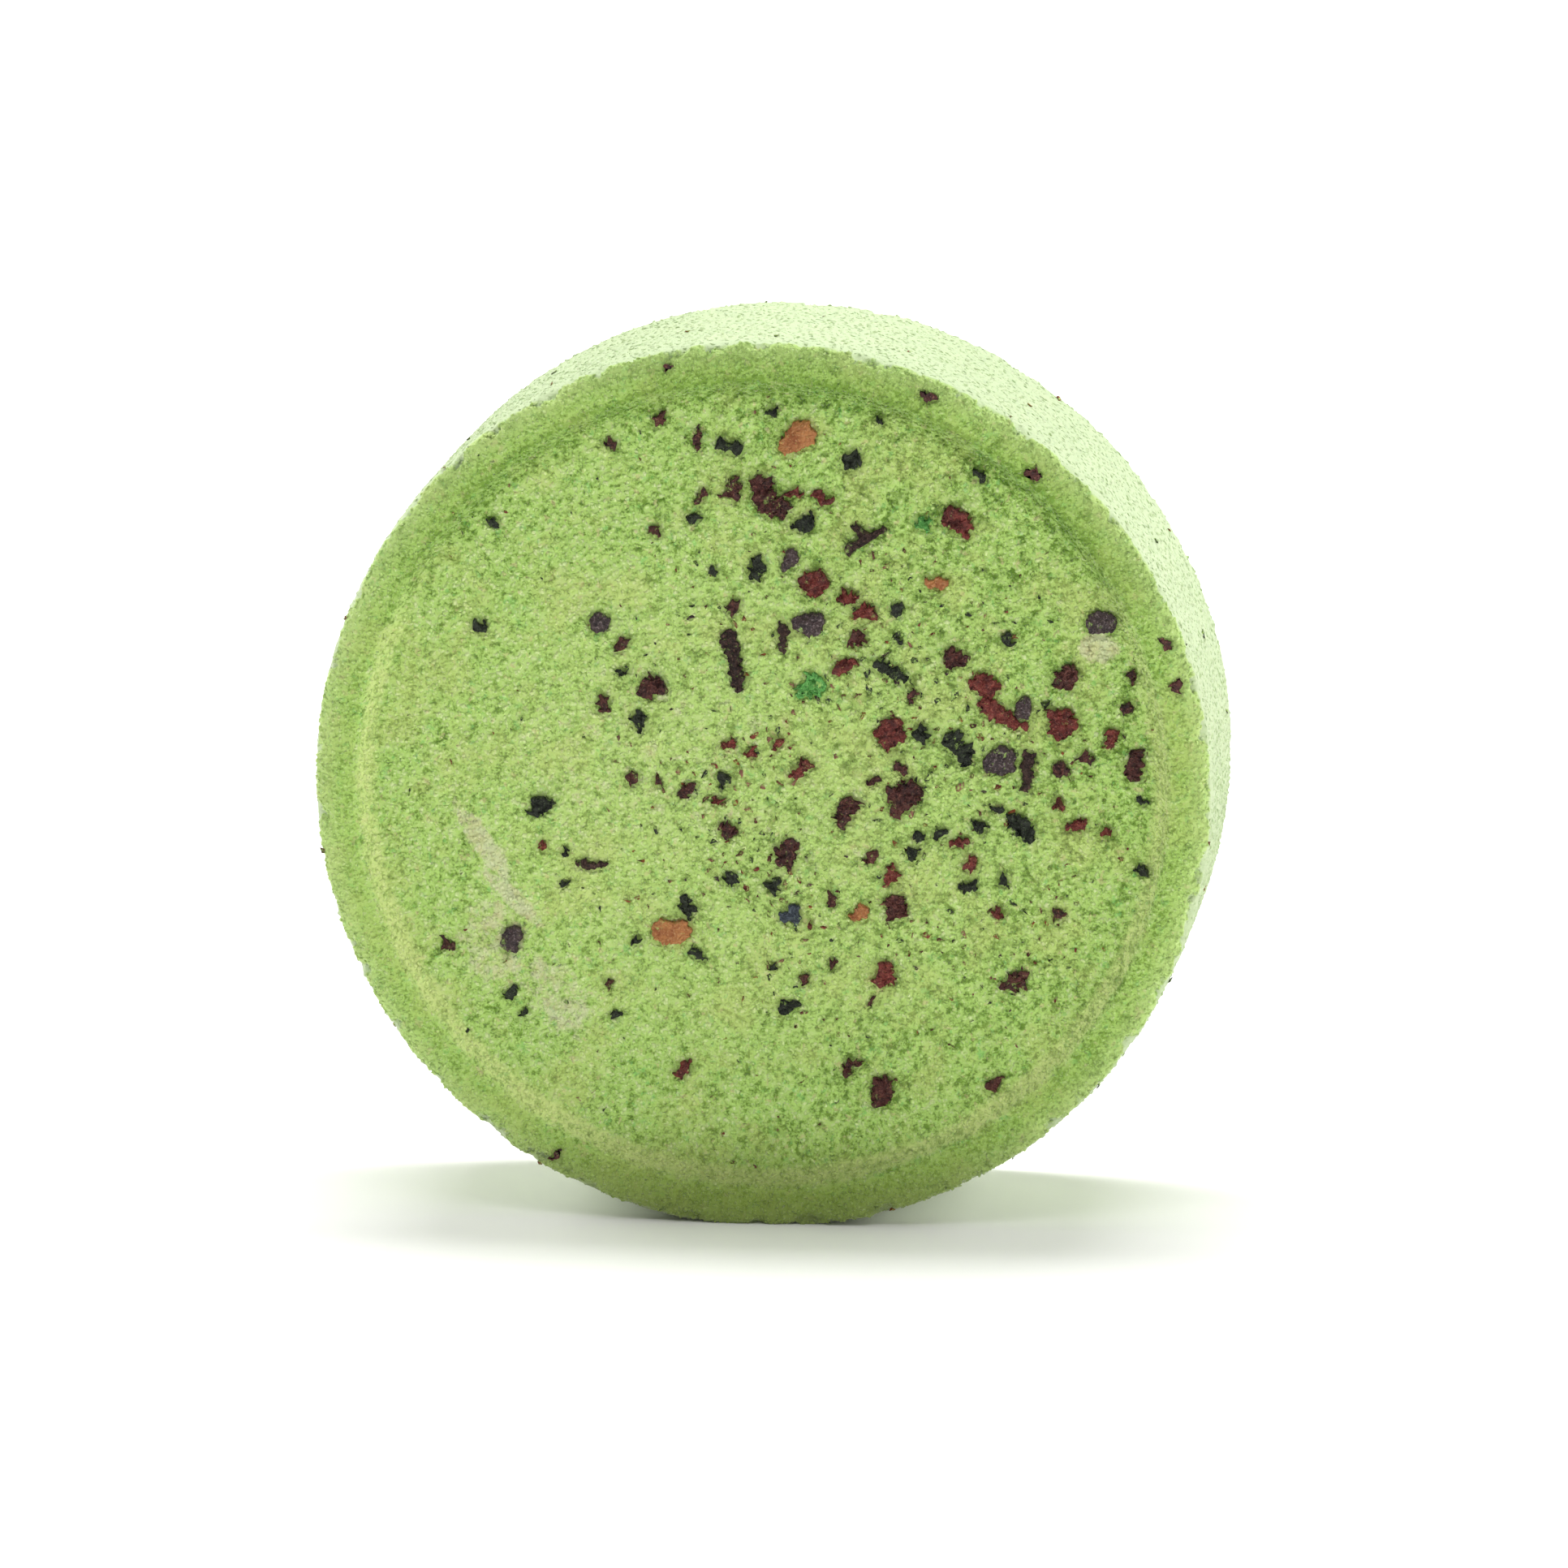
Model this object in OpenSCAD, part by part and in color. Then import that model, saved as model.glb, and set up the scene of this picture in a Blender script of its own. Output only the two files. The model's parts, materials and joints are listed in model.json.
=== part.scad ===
// Pressed soap puck, standing on its edge, with bits of dried plant set in its front face.
// Millimetres. +Z is up, the front face looks along -Y, and the origin is on the surface
// that the puck stands on, midway through its thickness and width.

/* [Puck] */
// Diameter of the puck
puck_d = 68; // [50:1:90]
// Thickness from the front rim to the back face
puck_t = 22; // [14:0.5:34]
// Radius of the soft outer edges
edge_r = 0.8; // [0.3:0.1:1.5]
// Width of the crushed flat that the puck stands on
foot_w = 11; // [4:0.5:16]

/* [Front face] */
// Width of the flat rim round the front face
rim_w = 3; // [2.4:0.1:5]
// Depth of the recessed face below the rim
recess_depth = 1.2; // [0.6:0.1:2.5]
// Run of the sloping step from the rim down to the recessed face
step_run = 1.6; // [0.8:0.1:2.5]

/* [Plant pieces] */
// Thickness of peel, rosehip and hibiscus chips
chip_t = 0.8; // [0.5:0.05:1.2]
// Thickness of leaf and petal flakes
leaf_t = 0.5; // [0.3:0.05:0.8]
// Thickness of seed husks and green granules
husk_t = 1; // [0.6:0.05:1.4]
// Thickness of stalk slivers
stalk_t = 0.6; // [0.4:0.05:0.9]
// Thickness of the small crumbs
crumb_t = 0.5; // [0.3:0.05:0.8]
// Height that a piece stands proud of the recessed face
proud = 0.15; // [0.05:0.05:0.25]
// Gap between a piece and the side of its pocket
pocket_gap = 0.03; // [0.02:0.01:0.06]
// Length of the forked stalk's side shoot
shoot_l = 0.9; // [0.4:0.1:1.4]

/* [Hidden] */
puck_r = puck_d / 2;
lip_r = puck_r - rim_w;
face_r = lip_r - step_run;
// Height of the puck's axis above the surface, so that the crushed flat is foot_w wide
axis_z = sqrt(puck_r * puck_r - foot_w * foot_w / 4);
// Steps in each quarter-round outer edge
edge_steps = 5;
// Radius of the recessed face that the rows below are laid out on
layout_r = 29.4;
// Middle radius of the rim that the rim rows are laid out on
layout_rim_r = 32.5;
// Height that every pocket is open above its piece
open_h = 1;
$fn = 96;

// Each row is one piece: its spot on the laid-out face, its shift from that spot, its
// length, its width and its turn. Spots spread with the face and shifts do not, so
// neighbours that share a spot keep their distance on a puck of any size.
ORANGE_PEEL = [
    [[2.5, 26.5], [0, 0], 2.7, 1.7, 40],
    [[-6.5, -11.2], [-0.5, -0.1], 2.8, 1.6, -5],
    [[13.1, 15.7], [0, 0], 1.7, 0.8, 0],
    [[7.3, -9.6], [0, 0], 1.8, 0.9, 45],
];
ROSEHIP = [
    [[14.7, 20.3], [0, 0], 2.6, 1.3, -45],
    [[3.9, 15.5], [0, 0], 2.1, 1.6, 60],
    [[7.2, 14], [0.7, -0.6], 1.5, 0.9, -30],
    [[7.2, 14], [-0.8, 0.5], 1.4, 0.8, 0],
    [[18, 7], [-1.3, 1.2], 2.3, 1.4, -35],
    [[18, 7], [-0.2, -1], 3, 1.1, -30],
    [[22.5, 5.2], [0, 0], 2.2, 1.9, 75],
    [[26.2, 4], [0, 0], 1.5, 0.9, 80],
    [[9.5, 4.1], [0, 0], 2.2, 1.9, 60],
    [[9.3, -14.1], [0, 0], 1.8, 1.3, 80],
    [[9.8, -6.5], [0, 0], 1.5, 0.9, 80],
];
HIBISCUS = [
    [[0.6, 22], [0, 0], 3.7, 1.6, -52],
    [[14.5, 10.1], [0, 0], 1.7, 1.5, 20],
    [[22.8, 8.7], [0, 0], 1.7, 1.5, 70],
    [[10.7, -0.6], [0, 0], 2.5, 1.9, 35],
    [[6.3, -1.8], [0, 0], 2.2, 1.2, 60],
    [[1.8, -5.2], [0, 0], 2, 1.4, 70],
    [[10.1, -9.1], [0, 0], 1.7, 1.4, 90],
    [[9.1, -23.3], [0, 0], 2.2, 1.5, 80],
    [[19.1, -14.6], [0, 0], 1.7, 1.4, 40],
    [[-8.6, 6.6], [0.3, 0.9], 2, 1.5, 50],
    [[6.6, -21.4], [0, 0], 1.7, 0.7, 50],
    [[28, 2.2], [0, 0], 2.6, 1.1, 80],
    [[7.1, 11.3], [0, 0], 1.4, 0.9, 5],
    [[-2.3, 22.6], [0, 0], 1.6, 0.9, 80],
];
TEA_LEAF = [
    [[3.1, 20.1], [0, 0], 1.8, 1.1, 20],
    [[9.6, 9], [0, 0], 2.4, 0.8, -25],
    [[14.7, 3.1], [0, 0], 2.8, 1, -50],
    [[19.4, -2.7], [0, 0], 2.6, 1.1, -45],
    [[-8.6, 6.6], [-0.7, -1.6], 1.3, 1.1, 30],
    [[-16.7, -1.8], [0, 0], 1.8, 1.4, 30],
    [[-2.6, 25.8], [0, 0], 2, 0.9, -15],
    [[12, 4.3], [0, 0], 1.3, 1, 80],
    [[2, -16.9], [0, 0], 1.4, 1, 50],
    [[-6.5, -11.2], [0.7, 1.7], 1.6, 0.8, 85],
    [[6.7, 24.9], [0, 0], 1.5, 1.2, 20],
];
SEED_HUSK = [
    [[3.4, 12.4], [0, 0], 2.3, 1.4, -5],
    [[25, 12.7], [0, 0], 2.4, 1.6, 0],
    [[17.8, 2.2], [0, 0], 2.4, 1.8, 10],
    [[-12.3, 12.2], [0, 0], 1.5, 1.3, 20],
    [[-19.1, -12.2], [0, 0], 2, 1.4, 80],
    [[2, 17.2], [0, 0], 1.7, 0.9, 60],
    [[18, 7], [1.7, -0.7], 1.5, 1.1, 80],
];
STALK = [
    [[-2.2, 9.5], [0, 0], 4.7, 0.9, -80],
    [[20, 1.6], [0.1, 0], 2.8, 0.5, 85],
    [[-13, -6.3], [0, 0], 2.1, 0.5, 0],
    [[1.2, 11.3], [0, 0], 2, 0.4, 85],
];
FORKED_STALK = [[7.7, 18.9], [0, 0], 3, 0.5, 27];
PETAL = [[2, -9.9], [0, 0], 1.6, 1, 15];
GREEN_GRANULE = [
    [[12, 20.2], [0, 0], 1.1, 1, 0],
    [[3.6, 7.6], [0, 0], 1.8, 1.5, 60],
];
RED_CRUMB = [
    [[2.2, 22.3], [0.2, 0], 1.3, 0.7, -10],
    [[4.4, 22], [0, 0], 1.3, 0.7, -35],
    [[17.7, -9.4], [0, 0], 0.9, 0.8, 0],
    [[15.8, -5.4], [0, 0], 0.9, 0.8, 0],
    [[14.9, -4], [0, 0], 1.1, 0.6, 10],
    [[23.7, -2.5], [0, 0], 1.6, 0.8, 0],
    [[22.3, -1], [0, 0], 0.9, 0.5, 30],
    [[26, -3.1], [0, 0], 0.9, 0.5, 0],
    [[-3.5, -1.2], [0, 0], 1, 0.6, -60],
    [[-2.7, 3.1], [0, 0], 1, 0.7, 0],
    [[-0.8, 2.7], [0, 0], 1, 0.6, 80],
    [[2.9, 1.4], [0, 0], 1.5, 0.9, 40],
    [[-6.1, -22], [0, 0], 1.2, 0.6, 60],
    [[3.5, -10.6], [0.1, 0], 0.6, 0.5, 0],
    [[1, 3.2], [0, 0], 1.1, 0.5, 70],
    [[6.4, 9.3], [-0.2, 0], 1.4, 1, 20],
    [[-16.6, -5], [0, 0], 0.5, 0.5, 0],
];
MAROON_CRUMB = [
    [[22.5, 1.8], [0, 0], 1.1, 1, 0],
    [[24.4, 2.7], [0, 0], 1.1, 0.9, -30],
    [[8.1, -5.4], [0, 0], 1.4, 0.6, 50],
    [[5.2, -8.9], [0, 0], 1, 0.7, 60],
    [[17.6, -22.5], [0, 0], 1.3, 0.6, 55],
    [[11.1, 7.1], [0, 0], 1.2, 0.6, 70],
    [[10.3, 1.6], [0, 0.1], 1.1, 0.7, -45],
    [[27.4, 6.4], [0, 0], 0.9, 0.7, 0],
    [[27.8, 8.8], [0, 0], 1.2, 0.5, 85],
    [[-7.9, 19.3], [0, 0], 0.8, 0.6, 80],
    [[-4.7, 21.9], [0, 0], 0.8, 0.5, 60],
    [[-4.8, 26.5], [-0.1, 0], 1.5, 0.5, 85],
    [[-7.7, 27.7], [0, 0], 0.6, 0.5, 0],
    [[-11.4, 25.8], [0, 0], 0.6, 0.6, 0],
    [[-12, 6], [0, 0], 1.5, 0.9, -70],
    [[-10.9, 10.4], [0, 0], 1, 0.7, 80],
    [[-5.9, -0.6], [0, 0], 1.2, 0.7, 85],
    [[-2.3, 13.6], [0, 0], 0.9, 0.7, 0],
    [[-7.8, 0.2], [0, 0], 0.6, 0.5, 0],
    [[-9.9, 0.3], [0, 0], 0.8, 0.6, 30],
    [[-2.6, -3.5], [0, 0], 1.6, 0.9, -30],
    [[3.1, -15], [0, 0], 0.8, 0.5, 80],
    [[5.3, -13.7], [0, 0], 0.8, 0.5, 0],
    [[8.2, -16.4], [0, 0], 0.5, 0.5, 0],
    [[22.2, -9.4], [0, 0], 0.7, 0.5, 30],
    [[-11.7, -15.4], [0, 0], 0.8, 0.5, 80],
    [[-24, -12.7], [0, 0], 0.9, 0.7, 0],
    [[8.4, 0.6], [0, 0], 0.8, 0.6, 0],
];
BLACK_CRUMB = [
    [[0.8, 28.4], [0, 0], 0.8, 0.5, 10],
    [[8.8, 27.9], [0, 0], 0.6, 0.4, -20],
    [[16.2, 24], [0, 0], 0.8, 0.6, -40],
    [[-0.5, 16.4], [0, 0], 1.3, 1, 60],
    [[10.3, 13.5], [0, 0], 0.9, 0.6, 30],
    [[10, 11.5], [0, 0], 0.9, 0.5, -50],
    [[18.3, 11.5], [0, 0], 0.9, 0.7, 60],
    [[21.3, 6.6], [-0.1, 0.1], 0.5, 0.4, 0],
    [[13.3, -3.4], [0, 0], 1, 0.8, 30],
    [[16.4, -2.7], [0, 0], 1.1, 0.8, 20],
    [[17.6, -1.4], [0, 0], 0.8, 0.6, 0],
    [[11.7, -3.6], [0, 0], 0.8, 0.5, -30],
    [[11.2, -5], [0.1, 0], 0.9, 0.8, 80],
    [[15.5, -7.4], [0, 0], 1.2, 0.6, 5],
    [[18.3, -7], [0, 0], 0.8, 0.5, -50],
    [[28.6, -5.9], [0, 0], 0.8, 0.7, 0],
    [[-2.9, 0.5], [0, 0], 1.1, 0.7, 70],
    [[-2.4, -7.2], [0, 0], 1.1, 0.8, 40],
    [[-9.5, -12], [-0.2, 0], 0.7, 0.6, 0],
    [[-6.5, -11.2], [1.4, -1.7], 1.3, 0.7, -35],
    [[-21.3, 11.7], [0, 0], 1, 0.7, 10],
    [[-20.2, 19.8], [0, 0], 0.8, 0.7, 60],
    [[-5.4, 20.4], [0, 0], 1.1, 0.4, -10],
    [[-19, -16.3], [0, 0], 1, 0.6, 60],
    [[-18.2, -18], [0, 0], 0.6, 0.4, -60],
    [[-14.9, -5.3], [0, 0], 0.8, 0.4, 20],
    [[-15.1, -7.8], [0, 0], 0.8, 0.4, -70],
    [[-11.2, -17.8], [0, 0], 0.5, 0.4, 0],
    [[-10.6, 8.3], [0, 0], 0.7, 0.5, -20],
    [[0.8, -7.6], [0, 0], 1.1, 0.9, 60],
    [[0.9, -13.8], [0, 0], 0.8, 0.4, 80],
    [[29, -0.6], [-0.4, 0], 0.6, 0.5, 0],
    [[-3.6, 16.6], [0, 0], 0.6, 0.4, 70],
];
// The same for the few crumbs on the rim, which lie flush with it
RIM_CRUMB = [
    [[19.8, 25.8], [0, 0], 1.2, 0.9, 0],
    [[12.6, 30], [0, 0], 1, 0.6, -20],
    [[31.3, 8.6], [0, 0], 1.3, 0.8, 70],
    [[30.4, 11.6], [0, 0], 1.2, 0.5, -50],
    [[-7, 31.8], [0, 0], 0.5, 0.4, 60],
    [[-15.5, -28.5], [0, 0], 1.1, 0.5, 45],
];

// Shape of each kind's outline: corners, boxiness (1 is an ellipse, less is squarer) and
// how far its edge is bitten in, as a share of its size
CHIP = [9, 0.8, 0.28];
LEAF = [11, 0.9, 0.38];
HUSK = [12, 0.9, 0.12];
SLIVER = [12, 0.35, 0.2];
CRUMB = [7, 0.85, 0.3];

function names(kind, rows) = [for (i = [1 : len(rows)]) str(kind, "_", i)];

// Seeds of the ragged outlines, one range for each kind
SEED = [for (kind = [0 : 11]) 100 * (kind + 1)];

// Points of a quarter-round edge about [x, y], from angle a0 to angle a1
function quarter(x, y, r, a0, a1) =
    [for (k = [0 : edge_steps]) let (a = a0 + (a1 - a0) * k / edge_steps)
        [x + r * cos(a), y + r * sin(a)]];

// Pushes a value between -1 and 1 towards its limits, for a squarer outline
function squared(v, power) = sign(v) * pow(abs(v), power);

// Ragged outline, anticlockwise, inside a length by width ellipse or rounded box
function ragged(length, width, shape, seed) =
    let (
        n = shape[0],
        rnd = rands(0, 1, 2 * n, seed)
    )
    [for (k = [0 : n - 1])
        let (
            a = 360 * (k + 0.5 * rnd[k]) / n,
            bite = 1 - shape[2] * rnd[n + k]
        )
        [length / 2 * squared(cos(a), shape[1]) * sqrt(bite),
         width / 2 * squared(sin(a), shape[1]) * bite]];

// Outline of a stalk with a side shoot, anticlockwise
function forked(length, width) = [
    [-length / 2, -width / 2],
    [length / 2, -width / 3],
    [length / 2, width / 2],
    [width, width / 2],
    [0, width / 2 + shoot_l],
    [-width * 0.8, width / 2 + shoot_l],
    [-width / 2, width / 2],
    [-length / 2, width / 3],
];

// The same outline moved outwards by gap on every side
function outward(p, q) = let (d = (q - p) / norm(q - p)) [d[1], -d[0]];
function grown(points, gap) =
    let (n = len(points))
    [for (k = [0 : n - 1])
        let (
            a = outward(points[(k + n - 1) % n], points[k]),
            b = outward(points[k], points[(k + 1) % n])
        )
        points[k] + gap * (a + b) / (1 + a * b)];

// Puts children on the front of the puck: their z = 0 is depth below the rim, facing out
module on_front(depth) {
    translate([0, depth - puck_t / 2, axis_z]) rotate([90, 0, 0]) children();
}

// One piece in its place on a plane, above_h standing out of it
module piece(row, points, thick, above_h, spread) {
    spot = row[0] * spread + row[1];
    translate([spot[0], spot[1], above_h - thick]) rotate(row[4])
        linear_extrude(thick) polygon(points);
}

// The pocket that a piece is pressed into: same floor, wider by the gap, open at the front
module pocket(row, points, thick, above_h, spread) {
    spot = row[0] * spread + row[1];
    translate([spot[0], spot[1], above_h - thick]) rotate(row[4])
        linear_extrude(thick + open_h) polygon(grown(points, pocket_gap));
}

face_spread = face_r / layout_r;
rim_spread = (puck_r - rim_w / 2) / layout_rim_r;

module face_piece(row, shape, thick, seed) {
    on_front(recess_depth)
        piece(row, ragged(row[2], row[3], shape, seed), thick, proud, face_spread);
}

module face_pockets(rows, shape, thick, seed) {
    on_front(recess_depth)
        for (i = [0 : len(rows) - 1])
            pocket(rows[i], ragged(rows[i][2], rows[i][3], shape, seed + i), thick, proud, face_spread);
}

// Half section of the puck: axis at x = 0, front rim at y = 0, back face at y = -puck_t
module half_section() {
    polygon(concat(
        [[0, -puck_t]],
        quarter(puck_r - edge_r, edge_r - puck_t, edge_r, -90, 0),
        quarter(puck_r - edge_r, -edge_r, edge_r, 0, 90),
        [[lip_r, 0], [face_r, -recess_depth], [0, -recess_depth]]
    ));
}

module puck_body() {
    color("yellowgreen")
    difference() {
        on_front(0) rotate_extrude() half_section();
        translate([-puck_r, -puck_t, -puck_r]) cube([puck_d, 2 * puck_t, puck_r]);
        face_pockets(ORANGE_PEEL, CHIP, chip_t, SEED[0]);
        face_pockets(ROSEHIP, CHIP, chip_t, SEED[1]);
        face_pockets(HIBISCUS, CHIP, chip_t, SEED[2]);
        face_pockets(TEA_LEAF, LEAF, leaf_t, SEED[3]);
        face_pockets(SEED_HUSK, HUSK, husk_t, SEED[4]);
        face_pockets(STALK, SLIVER, stalk_t, SEED[5]);
        face_pockets([PETAL], LEAF, leaf_t, SEED[6]);
        face_pockets(GREEN_GRANULE, HUSK, husk_t, SEED[7]);
        face_pockets(RED_CRUMB, CRUMB, crumb_t, SEED[8]);
        face_pockets(MAROON_CRUMB, CRUMB, crumb_t, SEED[9]);
        face_pockets(BLACK_CRUMB, CRUMB, crumb_t, SEED[10]);
        on_front(recess_depth)
            pocket(FORKED_STALK, forked(FORKED_STALK[2], FORKED_STALK[3]), stalk_t, proud, face_spread);
        on_front(0)
            for (i = [0 : len(RIM_CRUMB) - 1])
                pocket(RIM_CRUMB[i], rim_outline(i), crumb_t, 0, rim_spread);
    }
}

function rim_outline(i) = ragged(RIM_CRUMB[i][2], RIM_CRUMB[i][3], CRUMB, SEED[11] + i);

module orange_peel_chip(i) {
    color("peru") face_piece(ORANGE_PEEL[i], CHIP, chip_t, SEED[0] + i);
}

module rosehip_chip(i) {
    color("firebrick") face_piece(ROSEHIP[i], CHIP, chip_t, SEED[1] + i);
}

module hibiscus_chip(i) {
    color([0.3, 0.1, 0.12]) face_piece(HIBISCUS[i], CHIP, chip_t, SEED[2] + i);
}

module tea_leaf_flake(i) {
    color([0.14, 0.18, 0.12]) face_piece(TEA_LEAF[i], LEAF, leaf_t, SEED[3] + i);
}

module seed_husk(i) {
    color([0.36, 0.27, 0.29]) face_piece(SEED_HUSK[i], HUSK, husk_t, SEED[4] + i);
}

module stalk_sliver(i) {
    color([0.24, 0.16, 0.13]) face_piece(STALK[i], SLIVER, stalk_t, SEED[5] + i);
}

module forked_stalk() {
    color([0.2, 0.13, 0.11]) on_front(recess_depth)
        piece(FORKED_STALK, forked(FORKED_STALK[2], FORKED_STALK[3]), stalk_t, proud, face_spread);
}

module petal_flake() {
    color("slategray") face_piece(PETAL, LEAF, leaf_t, SEED[6]);
}

module green_granule(i) {
    color("mediumseagreen") face_piece(GREEN_GRANULE[i], HUSK, husk_t, SEED[7] + i);
}

module red_crumbs() {
    color("brown")
        for (i = [0 : len(RED_CRUMB) - 1]) face_piece(RED_CRUMB[i], CRUMB, crumb_t, SEED[8] + i);
}

module maroon_crumbs() {
    color([0.34, 0.14, 0.14])
        for (i = [0 : len(MAROON_CRUMB) - 1]) face_piece(MAROON_CRUMB[i], CRUMB, crumb_t, SEED[9] + i);
}

module black_crumbs() {
    color([0.13, 0.15, 0.11])
        for (i = [0 : len(BLACK_CRUMB) - 1]) face_piece(BLACK_CRUMB[i], CRUMB, crumb_t, SEED[10] + i);
}

module rim_crumbs() {
    color([0.4, 0.14, 0.13])
        on_front(0)
            for (i = [0 : len(RIM_CRUMB) - 1])
                piece(RIM_CRUMB[i], rim_outline(i), crumb_t, 0, rim_spread);
}

puck_body();
for (i = [0 : len(ORANGE_PEEL) - 1])
    orange_peel_chip(i);
for (i = [0 : len(ROSEHIP) - 1])
    rosehip_chip(i);
for (i = [0 : len(HIBISCUS) - 1])
    hibiscus_chip(i);
for (i = [0 : len(TEA_LEAF) - 1])
    tea_leaf_flake(i);
for (i = [0 : len(SEED_HUSK) - 1])
    seed_husk(i);
for (i = [0 : len(STALK) - 1])
    stalk_sliver(i);
forked_stalk();
petal_flake();
for (i = [0 : len(GREEN_GRANULE) - 1])
    green_granule(i);
red_crumbs();
maroon_crumbs();
black_crumbs();
rim_crumbs();
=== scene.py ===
"""Pressed soap puck with dried plant chips, as a Blender add-on that is run as a script.

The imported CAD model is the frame: it gives the puck's size, the recess and every chip's place.
This file adds what CAD leaves plain: the grain of the pressed soap, the curl and wrinkle of each
dried chip, the finest specks, the finishes, and a plain studio to show them in.
All lengths are metres unless a name ends in _mm.
"""

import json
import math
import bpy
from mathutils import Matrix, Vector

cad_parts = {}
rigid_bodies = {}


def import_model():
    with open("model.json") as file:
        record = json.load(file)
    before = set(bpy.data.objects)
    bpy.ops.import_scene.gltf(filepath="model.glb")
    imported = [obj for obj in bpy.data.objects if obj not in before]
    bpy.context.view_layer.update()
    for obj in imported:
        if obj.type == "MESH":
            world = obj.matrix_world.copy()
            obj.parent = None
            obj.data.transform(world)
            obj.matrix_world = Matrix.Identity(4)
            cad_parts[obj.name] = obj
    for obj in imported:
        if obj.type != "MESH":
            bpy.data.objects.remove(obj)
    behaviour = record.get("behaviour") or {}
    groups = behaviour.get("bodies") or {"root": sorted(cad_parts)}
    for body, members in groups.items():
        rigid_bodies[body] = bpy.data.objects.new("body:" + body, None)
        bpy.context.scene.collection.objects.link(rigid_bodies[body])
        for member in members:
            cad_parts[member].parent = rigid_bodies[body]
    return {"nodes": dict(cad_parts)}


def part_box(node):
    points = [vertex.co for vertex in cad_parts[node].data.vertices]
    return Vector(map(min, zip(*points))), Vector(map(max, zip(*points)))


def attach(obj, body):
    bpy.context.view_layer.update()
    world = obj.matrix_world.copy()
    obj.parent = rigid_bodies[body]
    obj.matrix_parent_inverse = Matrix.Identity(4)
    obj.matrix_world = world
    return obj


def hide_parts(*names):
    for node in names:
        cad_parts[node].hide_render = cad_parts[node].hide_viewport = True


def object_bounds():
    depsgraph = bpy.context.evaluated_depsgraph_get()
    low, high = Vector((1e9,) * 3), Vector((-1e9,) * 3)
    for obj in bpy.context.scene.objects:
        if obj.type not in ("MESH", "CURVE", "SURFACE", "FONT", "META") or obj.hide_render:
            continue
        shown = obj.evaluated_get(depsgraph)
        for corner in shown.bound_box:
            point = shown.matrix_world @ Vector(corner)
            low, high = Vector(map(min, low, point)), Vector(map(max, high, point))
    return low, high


bl_info = {
    "name": "Pressed Soap Puck",
    "version": (1, 0, 0),
    "blender": (4, 5, 0),
    "location": "3D View > Sidebar > Soap Puck",
    "description": "Builds a pressed soap puck with dried plant chips round its CAD frame",
    "category": "Object",
}

import bmesh
import bpy
import numpy as np
from bpy.props import FloatProperty, FloatVectorProperty, IntProperty, PointerProperty
from mathutils import Vector, noise

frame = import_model()
CAD_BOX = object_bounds()

MM = 0.001
BODY = "root"
PUCK = "puck_body"
# Keeps a division from dividing by zero
TINY = 1e-6

# Zones of the puck's skin, kept on its vertices so that each zone gets its own grain
FACE, RIM, WALL, BACK = range(4)


# ---------------------------------------------------------------- settings


def length_mm(name, about, default_mm):
    """A length property given in millimetres and stored in metres."""
    return FloatProperty(
        name=name,
        description=about,
        default=default_mm * MM,
        min=0.0,
        precision=5,
        subtype="DISTANCE",
        unit="LENGTH",
    )


def colour(name, about, red, green, blue):
    """A linear colour property."""
    return FloatVectorProperty(
        name=name,
        description=about,
        default=(red, green, blue),
        size=3,
        min=0.0,
        max=1.0,
        subtype="COLOR",
    )


class SoapSizes(bpy.types.PropertyGroup):
    """Sizes of the soap's skin and grain."""

    skin_inset: length_mm("Skin inset", "How far the skin lies inside the CAD surface", 0.12)
    face_step: length_mm("Face mesh step", "Gap between the skin's vertices on the face and rim", 0.28)
    wall_step: length_mm("Wall mesh step", "Gap between the skin's vertices on the wall and back", 0.46)
    swell: length_mm("Swell", "Height of the broad unevenness of the skin", 0.22)
    clump: length_mm("Clump height", "Height of the clumps of grains", 0.26)
    clump_size: length_mm("Clump size", "Width of a clump of grains", 1.3)
    pit: length_mm("Pit depth", "Depth of the pits between clumps", 0.4)
    crumble: length_mm("Edge crumble", "How far the outer edges are crumbled away", 0.9)
    grain: length_mm("Grain", "Width of the largest grains", 0.46)
    face_gap: length_mm("Face grain spacing", "Least distance between two grains of a face layer", 0.48)
    wall_gap: length_mm("Wall grain spacing", "Least distance between two grains of a wall layer", 0.60)
    seed: IntProperty(name="Seed", description="Seed of every random draw", default=7, min=0)


class SoapColours(bpy.types.PropertyGroup):
    """Colours of the pressed soap."""

    # Deep green: dark spots among the grains; it is also the colour of the painted shade at the step's
    # top and on the rim's shaded patches
    deep: colour("Deep green", "Gaps between the grains", 0.20, 0.36, 0.05)
    body: colour("Body green", "Most of the grains", 0.52, 0.77, 0.20)
    pale: colour("Pale green", "The lightest grains", 0.74, 0.88, 0.42)
    leaf: colour("Leaf green", "Spots with more dye", 0.24, 0.66, 0.17)
    warm: colour("Warm green", "Patches with less dye", 0.70, 0.74, 0.26)
    tan: colour("Tan", "Single grains without dye", 0.74, 0.62, 0.34)
    rim: colour("Rim green", "The smoother, denser rim", 0.40, 0.62, 0.12)
    # Step green: the step's rubbed colour, laid only on the lower step, which faces up to the light, so
    # it is partly painted light
    step: colour("Step green", "The rubbed step between rim and face", 0.78, 0.90, 0.35)
    dust: colour("Dust", "Dusty patches on the face", 0.84, 0.82, 0.58)
    # Wall: a paler colour that stands in for the strong light on the side wall: painted light
    wall: colour("Wall", "The powdery side wall", 0.60, 0.71, 0.46)
    # Painted shade: the front is darker towards the bottom, near the floor, where the floor's shade falls
    floor_shade: colour("Floor shade", "The crushed soap at the flat it stands on", 0.20, 0.26, 0.045)


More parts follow.
